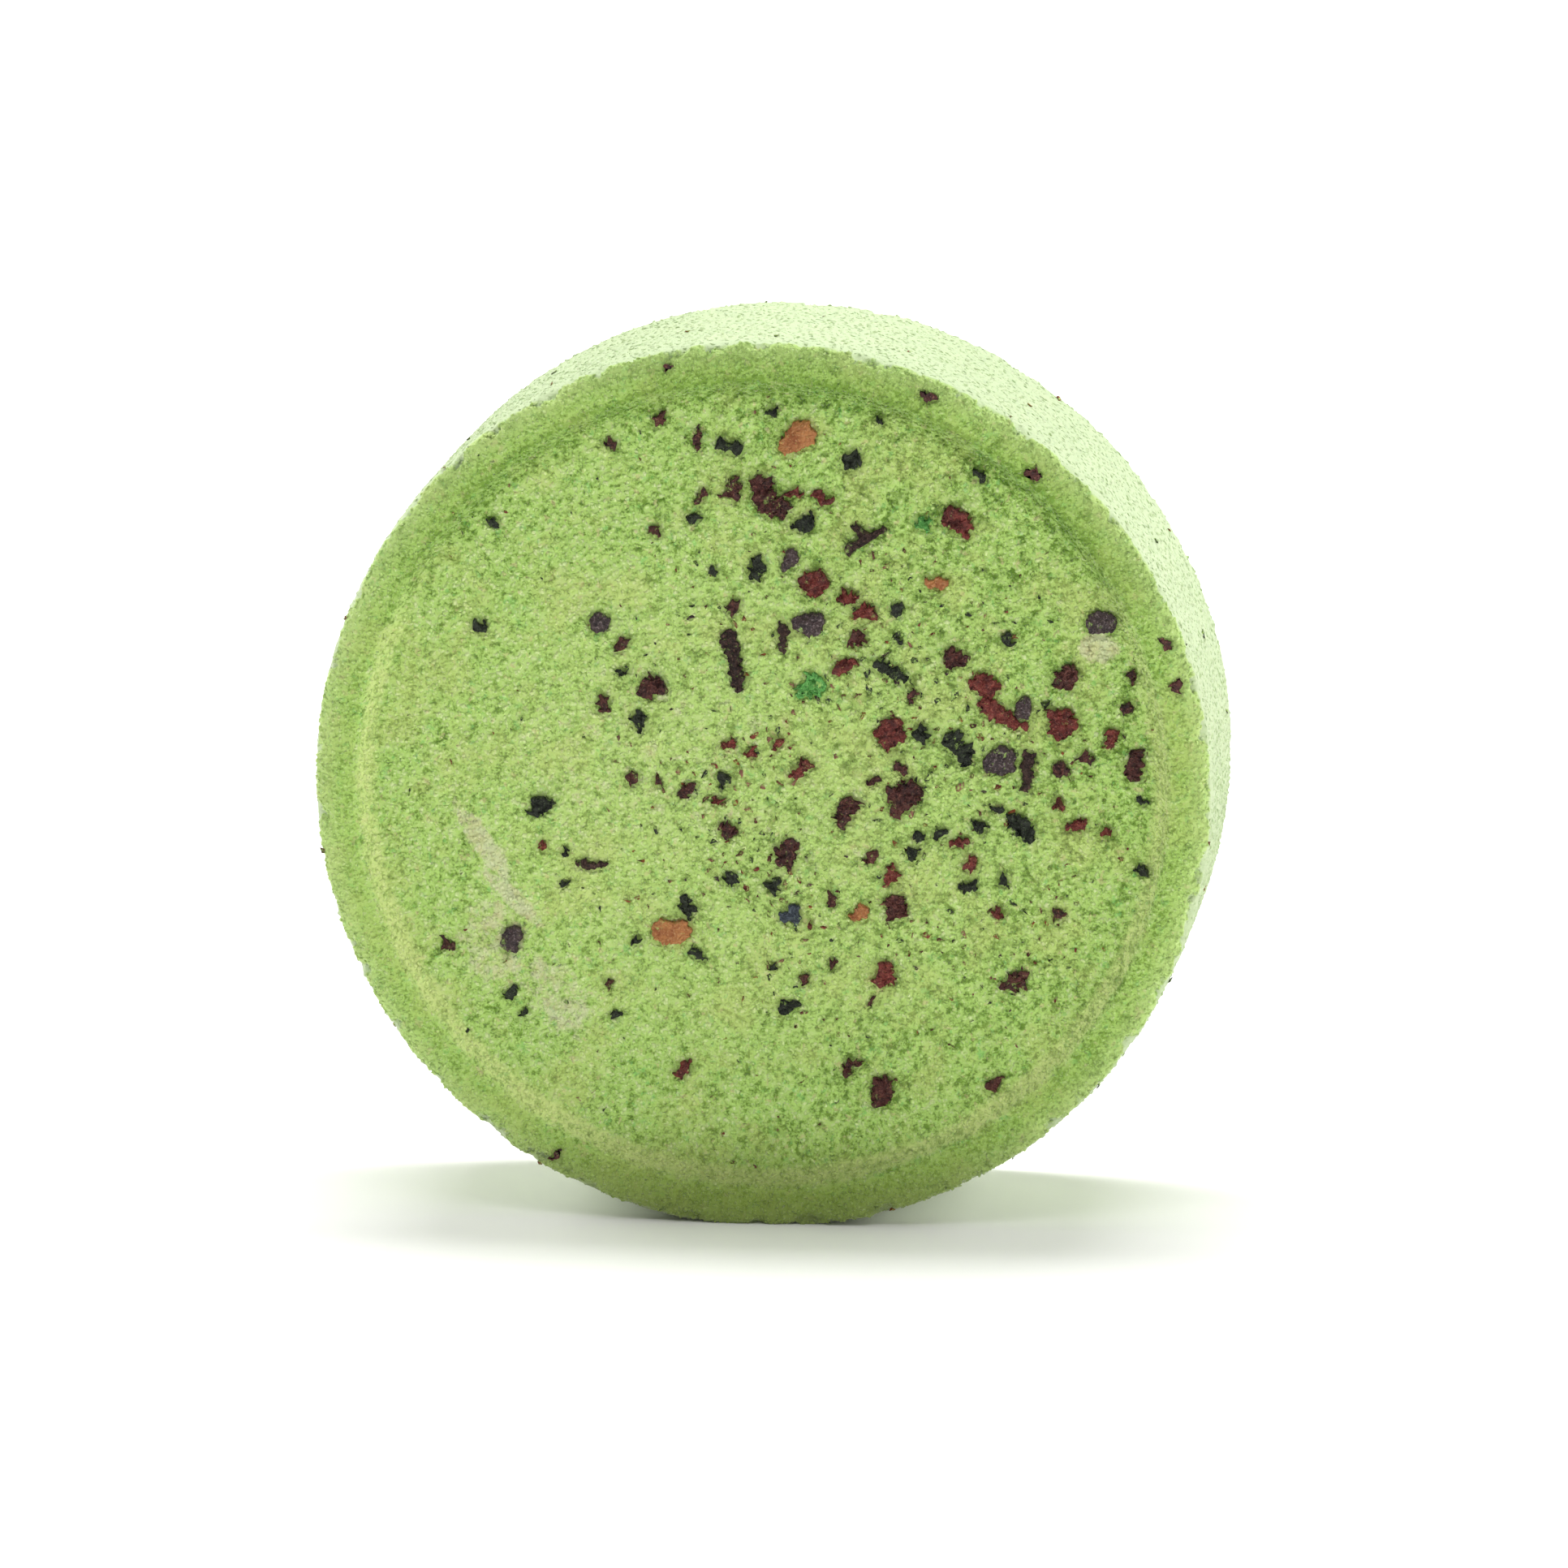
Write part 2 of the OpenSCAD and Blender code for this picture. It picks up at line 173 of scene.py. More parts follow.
class PlantColours(bpy.types.PropertyGroup):
    """Colours of the dried plant pieces: each has a main, a dark and a light tone."""

    peel: colour("Peel", "Orange peel", 0.52, 0.22, 0.075)
    peel_dark: colour("Peel dark", "Darker parts of the peel", 0.30, 0.09, 0.03)
    peel_light: colour("Peel light", "Worn parts of the peel", 0.62, 0.36, 0.16)
    rosehip: colour("Rosehip", "Rosehip skin", 0.24, 0.045, 0.035)
    rosehip_dark: colour("Rosehip dark", "Darker parts of the rosehip", 0.075, 0.016, 0.015)
    rosehip_light: colour("Rosehip light", "Torn flesh of the rosehip", 0.42, 0.15, 0.10)
    hibiscus: colour("Hibiscus", "Hibiscus petal", 0.13, 0.040, 0.032)
    hibiscus_dark: colour("Hibiscus dark", "Darker parts of the hibiscus", 0.032, 0.014, 0.015)
    hibiscus_light: colour("Hibiscus light", "Worn parts of the hibiscus", 0.30, 0.13, 0.09)
    leaf: colour("Tea leaf", "Dried leaf", 0.040, 0.048, 0.032)
    leaf_dark: colour("Tea leaf dark", "Darker parts of the leaf", 0.013, 0.015, 0.012)
    leaf_light: colour("Tea leaf light", "Worn parts of the leaf", 0.10, 0.14, 0.07)
    husk: colour("Husk", "Seed husk", 0.075, 0.046, 0.046)
    husk_dark: colour("Husk dark", "Darker parts of the husk", 0.026, 0.016, 0.018)
    husk_light: colour("Husk light", "Pale flecks of the husk", 0.36, 0.28, 0.28)
    stalk: colour("Stalk", "Stalk", 0.085, 0.045, 0.036)
    stalk_dark: colour("Stalk dark", "Darker fibres of the stalk", 0.022, 0.013, 0.012)
    stalk_light: colour("Stalk light", "Worn fibres of the stalk", 0.22, 0.12, 0.09)
    petal: colour("Petal", "Blue petal", 0.085, 0.105, 0.130)
    petal_dark: colour("Petal dark", "Darker veins of the petal", 0.022, 0.028, 0.038)
    petal_light: colour("Petal light", "Worn parts of the petal", 0.20, 0.24, 0.28)
    granule: colour("Granule", "Green granule", 0.18, 0.54, 0.12)
    granule_dark: colour("Granule dark", "Darker parts of the granule", 0.11, 0.38, 0.08)
    granule_light: colour("Granule light", "Lighter parts of the granule", 0.36, 0.70, 0.24)


class StudioSettings(bpy.types.PropertyGroup):
    """Camera distance, lens and light strengths of the studio."""

    distance: length_mm("Camera distance", "From the front face to the camera", 850.0)
    azimuth: FloatProperty(name="Azimuth", description="Camera's turn to the right of the face's axis",
                           default=math.radians(6.38), subtype="ANGLE", unit="ROTATION")
    elevation: FloatProperty(name="Elevation", description="Camera's height above the level",
                             default=math.radians(10.76), subtype="ANGLE", unit="ROTATION")
    lens: FloatProperty(name="Lens", description="Focal length in millimetres", default=259.9, min=1.0)
    aim_right: length_mm("Aim right", "How far right of the face's centre the camera looks", 1.73)
    aim_up: length_mm("Aim up", "How far above the face's centre the camera looks", 0.37)
    power: FloatProperty(name="Light", description="Factor on every lamp's power", default=1.0, min=0.0)
    ambient: FloatProperty(name="Ambient", description="Strength of the white surroundings",
                           default=0.09, min=0.0)


def sizes():
    """The soap's sizes."""
    return bpy.context.scene.soap_sizes


# ---------------------------------------------------------------- the puck's outline, from the frame


# How closely a CAD corner lies on a level face, and how far behind the front the face is looked for
LEVEL = 0.01 * MM
BEHIND_FRONT = 0.3 * MM


def read_outline():
    """Radii and depths of the puck's profile, measured on its CAD node."""
    mesh = frame["nodes"][PUCK].data
    points = np.empty(len(mesh.vertices) * 3)
    mesh.vertices.foreach_get("co", points)
    points = points.reshape(-1, 3)
    low, high = (np.array(corner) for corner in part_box(PUCK))
    radius = (high[0] - low[0]) / 2
    axis_z = high[2] - radius
    reach = np.hypot(points[:, 0], points[:, 2] - axis_z)
    front, back = low[1], high[1]
    on_rim = np.abs(points[:, 1] - front) < LEVEL
    inner = points[(points[:, 1] > front + BEHIND_FRONT) & (points[:, 1] < 0)]
    levels, counts = np.unique(np.round(inner[:, 1] / LEVEL), return_counts=True)
    face_y = levels[np.argmax(counts)] * LEVEL
    on_face = np.abs(points[:, 1] - face_y) < LEVEL
    return {
        "radius": radius,
        "axis_z": axis_z,
        "front": front,
        "back": back,
        "lip_r": reach[on_rim].min(),
        "edge_r": radius - reach[on_rim].max(),
        "face_r": reach[on_face].max(),
        "face_y": face_y,
    }


OUTLINE = read_outline()
AXIS = Vector((0.0, 0.0, OUTLINE["axis_z"]))


def plant_nodes(*starts):
    """CAD nodes whose names start with one of these words."""
    return sorted(
        (n for n in frame["nodes"] if n.startswith(starts)),
        key=lambda n: (n.rstrip("0123456789"), len(n), n),
    )


# ---------------------------------------------------------------- mesh helpers


def link_mesh(name, mesh):
    """A new object in the scene that carries this mesh."""
    piece = bpy.data.objects.new(name, mesh)
    bpy.context.scene.collection.objects.link(piece)
    return piece


def get_points(mesh):
    """The mesh's vertices as an n by 3 array."""
    points = np.empty(len(mesh.vertices) * 3)
    mesh.vertices.foreach_get("co", points)
    return points.reshape(-1, 3)


def set_points(mesh, points):
    """Writes an n by 3 array back as the mesh's vertices."""
    mesh.vertices.foreach_set("co", points.ravel())
    mesh.update()


def shade_smooth(mesh):
    """Smooth shading on every face."""
    mesh.polygons.foreach_set("use_smooth", [True] * len(mesh.polygons))
    mesh.update()


def evaluated_mesh(piece, name):
    """A plain mesh of what the object's modifiers make."""
    graph = bpy.context.evaluated_depsgraph_get()
    mesh = bpy.data.meshes.new_from_object(piece.evaluated_get(graph), depsgraph=graph)
    mesh.name = name
    return mesh


def keep_in_mould(mesh):
    """Flattens whatever stands past the mould: radius, rim, back face and the flat it stands on."""
    points = get_points(mesh)
    points[:, 1] = np.clip(points[:, 1], OUTLINE["front"], OUTLINE["back"])
    reach = np.hypot(points[:, 0], points[:, 2] - OUTLINE["axis_z"])
    pull = np.minimum(1.0, OUTLINE["radius"] / np.maximum(reach, TINY))
    points[:, 0] *= pull
    points[:, 2] = (points[:, 2] - OUTLINE["axis_z"]) * pull + OUTLINE["axis_z"]
    points[:, 2] = np.maximum(points[:, 2], CAD_BOX[0][2])
    set_points(mesh, points)


def finish_piece(piece, slot, *nodes):
    """Hands a finished piece to the frame: its body, and hides the CAD nodes it stands for. The slot is
    not used.
    """
    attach(piece, BODY)
    if nodes:
        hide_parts(*nodes)


# ---------------------------------------------------------------- node helpers


class Nodes:
    """Adds nodes to a tree and sets or links their inputs in one call."""

    def __init__(self, tree):
        self.tree = tree

    def add(self, kind, inputs=None, **settings):
        """A node of this kind. inputs maps a socket's name or number to a value or an output."""
        node = self.tree.nodes.new(kind)
        for key, value in settings.items():
            setattr(node, key, value)
        for key, value in (inputs or {}).items():
            self.set(node.inputs[key], value)
        return node

    def set(self, socket, value):
        """Links an output to the socket, or sets its value."""
        if isinstance(value, bpy.types.NodeSocket):
            self.tree.links.new(value, socket)
        else:
            socket.default_value = value

    def math(self, operation, a, b=None):
        """The result of a maths node."""
        node = self.add("ShaderNodeMath", operation=operation)
        for socket, value in zip(node.inputs, (a, b)):
            if value is not None:
                self.set(socket, value)
        return node.outputs[0]

    def plus(self, a, b):
        """The sum of two values."""
        return self.math("ADD", a, b)

    def minus(self, a, b):
        """The first value less the second."""
        return self.math("SUBTRACT", a, b)

    def times(self, a, b):
        """The product of two values."""
        return self.math("MULTIPLY", a, b)

    def noise(self, vector, size, detail=2.0, roughness=0.5, seed=0.0):
        """Soft noise from 0 to 1 with features this size."""
        node = self.add(
            "ShaderNodeTexNoise",
            {"Vector": vector, "W": seed, "Scale": 1.0 / size, "Detail": detail, "Roughness": roughness},
            noise_dimensions="4D",
        )
        return node.outputs[0]

    def named_noise(self, vector, name):
        """One of the fields listed in NOISES."""
        size_mm, detail, roughness, seed = NOISES[name]
        return self.noise(vector, size_mm * MM, detail, roughness, seed)

    def edge_distance(self, vector, size):
        """Distance to the nearest edge between cells of this size."""
        inputs = {"Vector": vector, "Scale": 1.0 / size}
        return self.add("ShaderNodeTexVoronoi", inputs, feature="DISTANCE_TO_EDGE").outputs["Distance"]

    def ramp(self, value, low, high, to_low=0.0, to_high=1.0):
        """value from low..high to to_low..to_high, smooth and clamped."""
        node = self.add(
            "ShaderNodeMapRange",
            {"Value": value, "From Min": low, "From Max": high, "To Min": to_low, "To Max": to_high},
            interpolation_type="SMOOTHSTEP",
            clamp=True,
        )
        return node.outputs[0]

    def fade(self, value, name):
        """One of the fades listed in FADES."""
        return self.ramp(value, *FADES[name])

    def fade_mm(self, value, name, origin=0.0):
        """One of the fades listed in FADES_MM, its ends measured from an origin."""
        low, high, *ends = FADES_MM[name]
        return self.ramp(value, origin + low * MM, origin + high * MM, *ends)

    def scaled(self, vector, factor):
        """A vector times a number."""
        inputs = {0: vector, "Scale": factor}
        return self.add("ShaderNodeVectorMath", inputs, operation="SCALE").outputs[0]

    def split(self, vector):
        """The X, Y and Z of a vector."""
        return self.add("ShaderNodeSeparateXYZ", {0: vector}).outputs

    def compare(self, operation, a, b):
        """Whether a number is less or greater than another."""
        return self.add("FunctionNodeCompare", {0: a, 1: b}, operation=operation).outputs[0]

    def random(self, seed, low=0.0, high=1.0):
        """A random number for each point."""
        inputs = {2: low, 3: high, "Seed": seed}
        return self.add("FunctionNodeRandomValue", inputs, data_type="FLOAT").outputs[1]

    def painted(self, geometry, material):
        """The geometry with this material on all of it."""
        inputs = {"Geometry": geometry, "Material": material}
        return self.add("GeometryNodeSetMaterial", inputs).outputs[0]

    def mix(self, factor, a, b):
        """One colour from two."""
        node = self.add("ShaderNodeMix", data_type="RGBA")
        self.set(node.inputs["Factor"], factor)
        for socket, value in ((node.inputs[6], a), (node.inputs[7], b)):
            if not isinstance(value, bpy.types.NodeSocket):
                value = (*value, 1.0)
            self.set(socket, value)
        return node.outputs[2]


# Noise fields: feature size in mm, detail, roughness and seed
NOISES = {
    "pit patches": (9.0, 1.0, 0.5, 3.0),
    "pits": (1.1, 2.0, 0.55, 5.0),
    "chipped edge": (1.8, 3.0, 0.6, 8.0),
    "speck patches": (8.0, 1.0, 0.5, 2.0),
    "lip": (1.1, 3.0, 0.5, 21.0),
    "grains": (0.62, 4.0, 0.7, 0.0),
    "small grains": (0.2, 2.0, 0.6, 2.0),
    "rim grains": (0.3, 3.0, 0.65, 31.0),
    "dye": (1.2, 4.0, 0.65, 4.0),
    "dye spots": (0.6, 3.0, 0.6, 17.0),
    "tan": (0.7, 3.0, 0.6, 19.0),
    "warm": (3.5, 3.0, 0.6, 9.0),
    "painted light wall edge": (0.8, 3.0, 0.6, 23.0),
    "dust cloud": (1.1, 5.0, 0.75, 12.0),
    "dust tint": (0.9, 3.0, 0.6, 27.0),
    "soap relief": (0.16, 3.0, 0.7, 1.0),
    "plant tone": (4.5, 1.0, 0.5, 7.0),
    "plant flecks": (0.2, 3.0, 0.7, 6.0),
    "plant powder": (0.7, 5.0, 0.75, 15.0),
    "speck mottle": (0.15, 3.0, 0.6, 0.0),
    "speck powder": (0.3, 3.0, 0.7, 15.0),
}

# Fades over a noise or another plain value: where each starts and ends, then its values there when they
# aren't 0 and 1
FADES = {
    "pit patches": (0.38, 0.66, 0.4, 1.0),
    "pits": (0.53, 0.68),
    "chipped edge": (0.46, 0.72),
    "speck patches": (0.36, 0.60, 0.25, 1.0),
    "patch": (0.1, 1.2, 1.0, 0.0),
    "body grains": (0.38, 0.485),
    "pale grains": (0.48, 0.605),
    "pale shaded gaps": (0.48, 0.605, 0.0, 0.4),
    "dye": (0.60, 0.70),
    "dye spots": (0.60, 0.68),
    "tan": (0.60, 0.68),
    "warm": (0.45, 0.66),
    "step tone": (0.43, 0.53, 0.5, 1.0),
    "dust": (0.45, 1.15),
    "dust tint": (0.45, 0.62, 0.0, 0.55),
    "plant tone": (0.38, 0.60),
    "plant flecks": (0.52, 0.66),
    "plant veins": (0.0, 0.12, 1.0, 0.0),
    "plant wrinkles": (0.0, 0.3),
    "plant powder": (0.58, 0.68),
    "speck mottle": (0.45, 0.7, 0.0, 0.5),
    "speck powder": (0.46, 0.60),
    "paper cloud": (0.3, 0.7),
}

# Fades over a distance: start and end in mm from the origin given with them, then the values there when
# they aren't 0 and 1
FADES_MM = {
    "pits rightward": (-20.0, 14.0, 0.45, 1.0),
    "outer edge": (-1.6, -0.2),
    "thick edge": (-1.8, -0.2),
    "specks gathered": (8.0, 24.0, 1.0, 0.1),
    "front": (-9.4, -8.6, 1.0, 0.0),
    "open side": (-16.0, 14.0),
    "rim": (-0.2, 0.1),
    "step inner": (-0.3, 0.4),
    "step outer": (-0.55, -0.15, 1.0, 0.0),
    # The pale step is partly its rubbed colour and partly painted light: it lies only on the lower part
    # and the sides, where the step faces up to the light, and is stronger lower down
    "step painted light height": (6.0, 20.0, 1.0, 0.0),
    "step painted light strength": (-14.0, 2.0, 0.85, 0.65),
    # Painted shade: the top of the step, under the lip, where it faces down
    "crease inner": (-2.1, -0.5),
    "crease outer": (0.0, 0.5, 1.0, 0.0),
    "crease height": (8.0, 22.0),
    # Painted shade on the back face
    "back": (-1.0, -0.5, 0.0, 0.8),
    # Where the side wall's painted light lies
    "painted light wall front": (0.45, 0.80),
    "painted light wall back": (-0.80, -0.45, 1.0, 0.0),
    "painted light wall reach": (-1.6, -0.8, 0.0, 0.8),
    # Painted shade towards the bottom of the front, near the floor
    "floor_shade": (0.5, 9.0, 0.75, 0.0),
}


def group_tree(name, inputs):
    """An empty geometry tree with a geometry in and out and these named inputs (kind, default)."""
    tree = bpy.data.node_groups.new(name, "GeometryNodeTree")
    tree.interface.new_socket("Geometry", in_out="INPUT", socket_type="NodeSocketGeometry")
    for label, (kind, default) in inputs.items():
        socket = tree.interface.new_socket(label, in_out="INPUT", socket_type="NodeSocket" + kind)
        if default is not None:
            socket.default_value = default
    tree.interface.new_socket("Geometry", in_out="OUTPUT", socket_type="NodeSocketGeometry")
    return tree


def run_tree(piece, tree, values, name):
    """The mesh that the tree makes of the piece with these input values, the modifier then removed."""
    modifier = piece.modifiers.new("build", "NODES")
    modifier.node_group = tree
    for item in tree.interface.items_tree:
        if item.in_out == "INPUT" and item.name in values:
            modifier[item.identifier] = values[item.name]
    mesh = evaluated_mesh(piece, name)
    piece.modifiers.remove(modifier)
    return mesh


# ---------------------------------------------------------------- the puck's skin


# The skin's outline: how much of the inset the face keeps, parts of the step and of an edge's rounding,
# how far the step's rise is put off, and how coarse the skin is on each part (1 is the face's middle)
FACE_INSET = 0.8
STEP_PARTS = 8
EDGE_PARTS = 4
RISE_DELAY = 1.5
COARSE_FACE, COARSE_STEP, COARSE_RIM, COARSE_WALL, COARSE_EDGE, COARSE_BACK = 1.0, 0.8, 0.5, 0.4, 0.6, 0.5
STEP_CALMING = 0.4


def profile_path():
    """Points (radius, y, step, zone, coarseness) along the skin, from the face's centre to the back's."""
    o, s = OUTLINE, sizes()
    inset = s.skin_inset
    edge = o["edge_r"]
    outer = o["radius"] - inset
    front, back = o["front"] + inset, o["back"] - inset
    face_y = o["face_y"] + FACE_INSET * inset
    corners = [(0.0, face_y, FACE, COARSE_FACE)]
    for k in range(STEP_PARTS + 1):
        t = k / STEP_PARTS
        late = t ** RISE_DELAY
        rise = late * late * (3 - 2 * late)
        corners.append((o["face_r"] + (o["lip_r"] - o["face_r"]) * t, face_y + (front - face_y) * rise,
                        FACE if k < STEP_PARTS // 2 else RIM, COARSE_STEP - STEP_CALMING * t))
    corners.append((outer - edge, front, RIM, COARSE_RIM))
    for k in range(1, EDGE_PARTS + 1):
        turn = math.pi / 2 * k / EDGE_PARTS
        corners.append((outer - edge + edge * math.sin(turn), front + edge - edge * math.cos(turn),
                        RIM if k < EDGE_PARTS - 1 else WALL, COARSE_EDGE))
    corners.append((outer, 0.0, WALL, COARSE_WALL))
    for k in range(EDGE_PARTS + 1):
        turn = math.pi / 2 * k / EDGE_PARTS
        corners.append((outer - edge + edge * math.cos(turn), back - edge + edge * math.sin(turn),
                        WALL if k < EDGE_PARTS - 1 else BACK, COARSE_EDGE))
    corners.append((0.0, back, BACK, COARSE_BACK))
    path = []
    for (r0, y0, zone, coarse0), (r1, y1, _, coarse1) in zip(corners, corners[1:]):
        fine = zone in (FACE, RIM)
        step = s.face_step if fine else s.wall_step
        count = max(1, round(math.hypot(r1 - r0, y1 - y0) / step))
        for k in range(count):
            t = k / count
            rough = coarse0 + (coarse1 - coarse0) * t
            path.append((r0 + (r1 - r0) * t, y0 + (y1 - y0) * t, step, zone, rough))
    path.append((0.0, back, s.wall_step, BACK, COARSE_BACK))
    return path


def zip_rings(start_a, count_a, start_b, count_b):
    """Triangles between two closed rings of vertices with different counts."""
    if count_a == 1:
        return [(start_a, start_b + (k + 1) % count_b, start_b + k) for k in range(count_b)]
    if count_b == 1:
        return [(start_b, start_a + k, start_a + (k + 1) % count_a) for k in range(count_a)]
    faces = []
    a = b = 0
    while a < count_a or b < count_b:
        if b >= count_b or (a < count_a and (a + 1) / count_a <= (b + 1) / count_b):
            faces.append((start_a + a % count_a, start_a + (a + 1) % count_a, start_b + b % count_b))
            a += 1
        else:
            faces.append((start_a + a % count_a, start_b + (b + 1) % count_b, start_b + b % count_b))
            b += 1
    return faces


def skin_mesh():
    """The puck's smooth skin as evenly sized triangles, with its zone and coarseness on each vertex."""
    points, zones, coarse, faces, rings = [], [], [], [], []
    for radius, y, step, zone, rough in profile_path():
        count = 1 if radius < 0.5 * step else max(8, round(2 * math.pi * radius / step))
        rings.append((len(points), count))
        for k in range(count):
            turn = 2 * math.pi * k / count
            points.append((radius * math.cos(turn), y, OUTLINE["axis_z"] + radius * math.sin(turn)))
        zones += [float(zone)] * count
        coarse += [rough] * count
    for (start_a, count_a), (start_b, count_b) in zip(rings, rings[1:]):
        faces += zip_rings(start_a, count_a, start_b, count_b)
    mesh = bpy.data.meshes.new("skin")
    mesh.from_pydata(points, [], faces)
    for label, values in (("zone", zones), ("coarse", coarse)):
        mesh.attributes.new(label, "FLOAT", "POINT").data.foreach_set("value", values)
    bm = bmesh.new()
    bm.from_mesh(mesh)
    bmesh.ops.recalc_face_normals(bm, faces=bm.faces)
    bm.to_mesh(mesh)
    bm.free()
    return mesh


def reach_from_axis(n, parts):
    """Distance of a point from the puck's axis."""
    height = n.minus(parts["Z"], OUTLINE["axis_z"])
    squares = n.plus(n.times(parts["X"], parts["X"]), n.times(height, height))
    return n.math("SQRT", squares)


def pit_pattern(n, place):
    """Where the pits between clumps lie, 0 to 1: more of them in some patches and to the right."""
    patchy = n.fade(n.named_noise(place, "pit patches"), "pit patches")
    rightward = n.fade_mm(n.split(place)["X"], "pits rightward")
    pits = n.fade(n.named_noise(place, "pits"), "pits")
    return n.times(pits, n.times(patchy, rightward))


def attribute(n, name):
    """A float attribute's value in a geometry tree."""
    return n.add("GeometryNodeInputNamedAttribute", {"Name": name}, data_type="FLOAT").outputs[0]


def flattened(n, place):
    """A position pressed onto the plane of the face."""
    parts = n.split(place)
    return n.add("ShaderNodeCombineXYZ", {0: parts["X"], 2: parts["Z"]}).outputs[0]


def chip_distance(n, chips):
    """Distance to the nearest plant piece, measured across the front; far for the back."""
    place = n.add("GeometryNodeInputPosition").outputs[0]
    info = n.add("GeometryNodeCollectionInfo", {"Collection": chips})
    whole = n.add("GeometryNodeRealizeInstances", {"Geometry": info.outputs[0]}).outputs[0]
    flat = n.add("GeometryNodeSetPosition", {"Geometry": whole, "Position": flattened(n, place)})
    near = n.add("GeometryNodeProximity", {0: flat.outputs[0], "Sample Position": flattened(n, place)},
                 target_element="FACES").outputs["Distance"]
    behind = n.math("GREATER_THAN", n.split(place)["Y"], 0.0)
    return n.plus(near, behind)


# The relief of the skin: width of the broad swell, the noise value at which a clump is level, detail and
# roughness of the clumps, and how wide and how deep the bed round a plant piece is
SWELL_WIDTH = 7 * MM
CLUMP_LEVEL = 0.55
CLUMP_DETAIL = 2.0
CLUMP_ROUGHNESS = 0.6
BED_WIDTH = 0.45 * MM
BED_DEPTH = 0.16 * MM


def roughen_tree():
    """Moves the skin in and out along its normals: swell, clumps, pits and crumbled edges."""
    s = sizes()
    tree = group_tree("Pressed skin", {
        "Chips": ("Collection", None),
        "Swell": ("Float", s.swell),
        "Clump Height": ("Float", s.clump),
        "Clump Size": ("Float", s.clump_size),
        "Pit Depth": ("Float", s.pit),
        "Edge Crumble": ("Float", s.crumble),
        "Seed": ("Float", float(s.seed)),
        "Material": ("Material", None),
    })
    n = Nodes(tree)
    given = n.add("NodeGroupInput").outputs
    place = n.add("GeometryNodeInputPosition").outputs[0]
    normal = n.add("GeometryNodeInputNormal").outputs[0]
    coarse = attribute(n, "coarse")

    swell = n.noise(place, SWELL_WIDTH, 1.0, seed=given["Seed"])
    swell = n.times(n.minus(swell, 0.5), given["Swell"])

    clump = n.add("ShaderNodeTexNoise", {
        "Vector": place,
        "Scale": n.math("DIVIDE", 1.0, given["Clump Size"]),
        "Detail": CLUMP_DETAIL,
        "Roughness": CLUMP_ROUGHNESS,
    }).outputs[0]
    clump = n.times(n.minus(clump, CLUMP_LEVEL), given["Clump Height"])
    holes = n.times(pit_pattern(n, place), given["Pit Depth"])
    total = n.plus(swell, n.times(n.minus(clump, holes), coarse))

    bed = n.ramp(chip_distance(n, given["Chips"]), 0.0, BED_WIDTH, BED_DEPTH, 0.0)
    total = n.minus(total, bed)

    parts = n.split(place)
    out_edge = n.fade_mm(reach_from_axis(n, parts), "outer edge", OUTLINE["radius"])
    thick_edge = n.fade_mm(n.math("ABSOLUTE", parts["Y"]), "thick edge", OUTLINE["back"])
    chipped = n.fade(n.named_noise(place, "chipped edge"), "chipped edge")
    edge = n.times(n.times(out_edge, thick_edge), chipped)
    total = n.minus(total, n.times(edge, given["Edge Crumble"]))

    shift = n.scaled(normal, total)
    moved = n.add("GeometryNodeSetPosition", {"Geometry": given["Geometry"], "Offset": shift}).outputs[0]
    whole = n.add("GeometryNodeRealizeInstances", {"Geometry": moved}).outputs[0]
    n.add("NodeGroupOutput", {0: n.painted(whole, given["Material"])})
    return tree


def chip_collection():
    """The dried plant pieces, gathered so that the soap's trees can keep clear of them."""
    name = "plant pieces"
    found = bpy.data.collections.get(name)
    if found:
        return found
    group = bpy.data.collections.new(name)
    for piece in bpy.data.objects:
        if piece.name.endswith("_dried"):
            group.objects.link(piece)
    return group


# ---------------------------------------------------------------- grains and specks


# Where plant specks gather: middle of the crowded part, across; how much less height counts than width
GATHER_X = 8 * MM
GATHER_SQUASH = 0.85
# Most points per least spacing squared, before the spacing thins them
CROWDING = 4.0
# Greatest tilts and turn of a lump, its least stretch, and the width of its ragged bumps
LUMP_TILTS = (0.6, 0.6, 2 * math.pi)
LEAST_STRETCH = 0.8
RAGGED_WIDTH = 0.24 * MM
# What is added to the seed for a lump's tint and for its stretch
TINT_SEED = 11.0
STRETCH_SEED = 5.0


def crowd(n, place):
    """How much plant specks are wanted at a point, 0 to 1."""
    parts = n.split(place)
    aside = n.minus(parts["X"], GATHER_X)
    above = n.times(n.minus(parts["Z"], OUTLINE["axis_z"]), GATHER_SQUASH)
    apart = n.math("SQRT", n.plus(n.times(aside, aside), n.times(above, above)))
    patches = n.fade(n.named_noise(place, "speck patches"), "speck patches")
    return n.times(n.fade_mm(apart, "specks gathered"), patches)


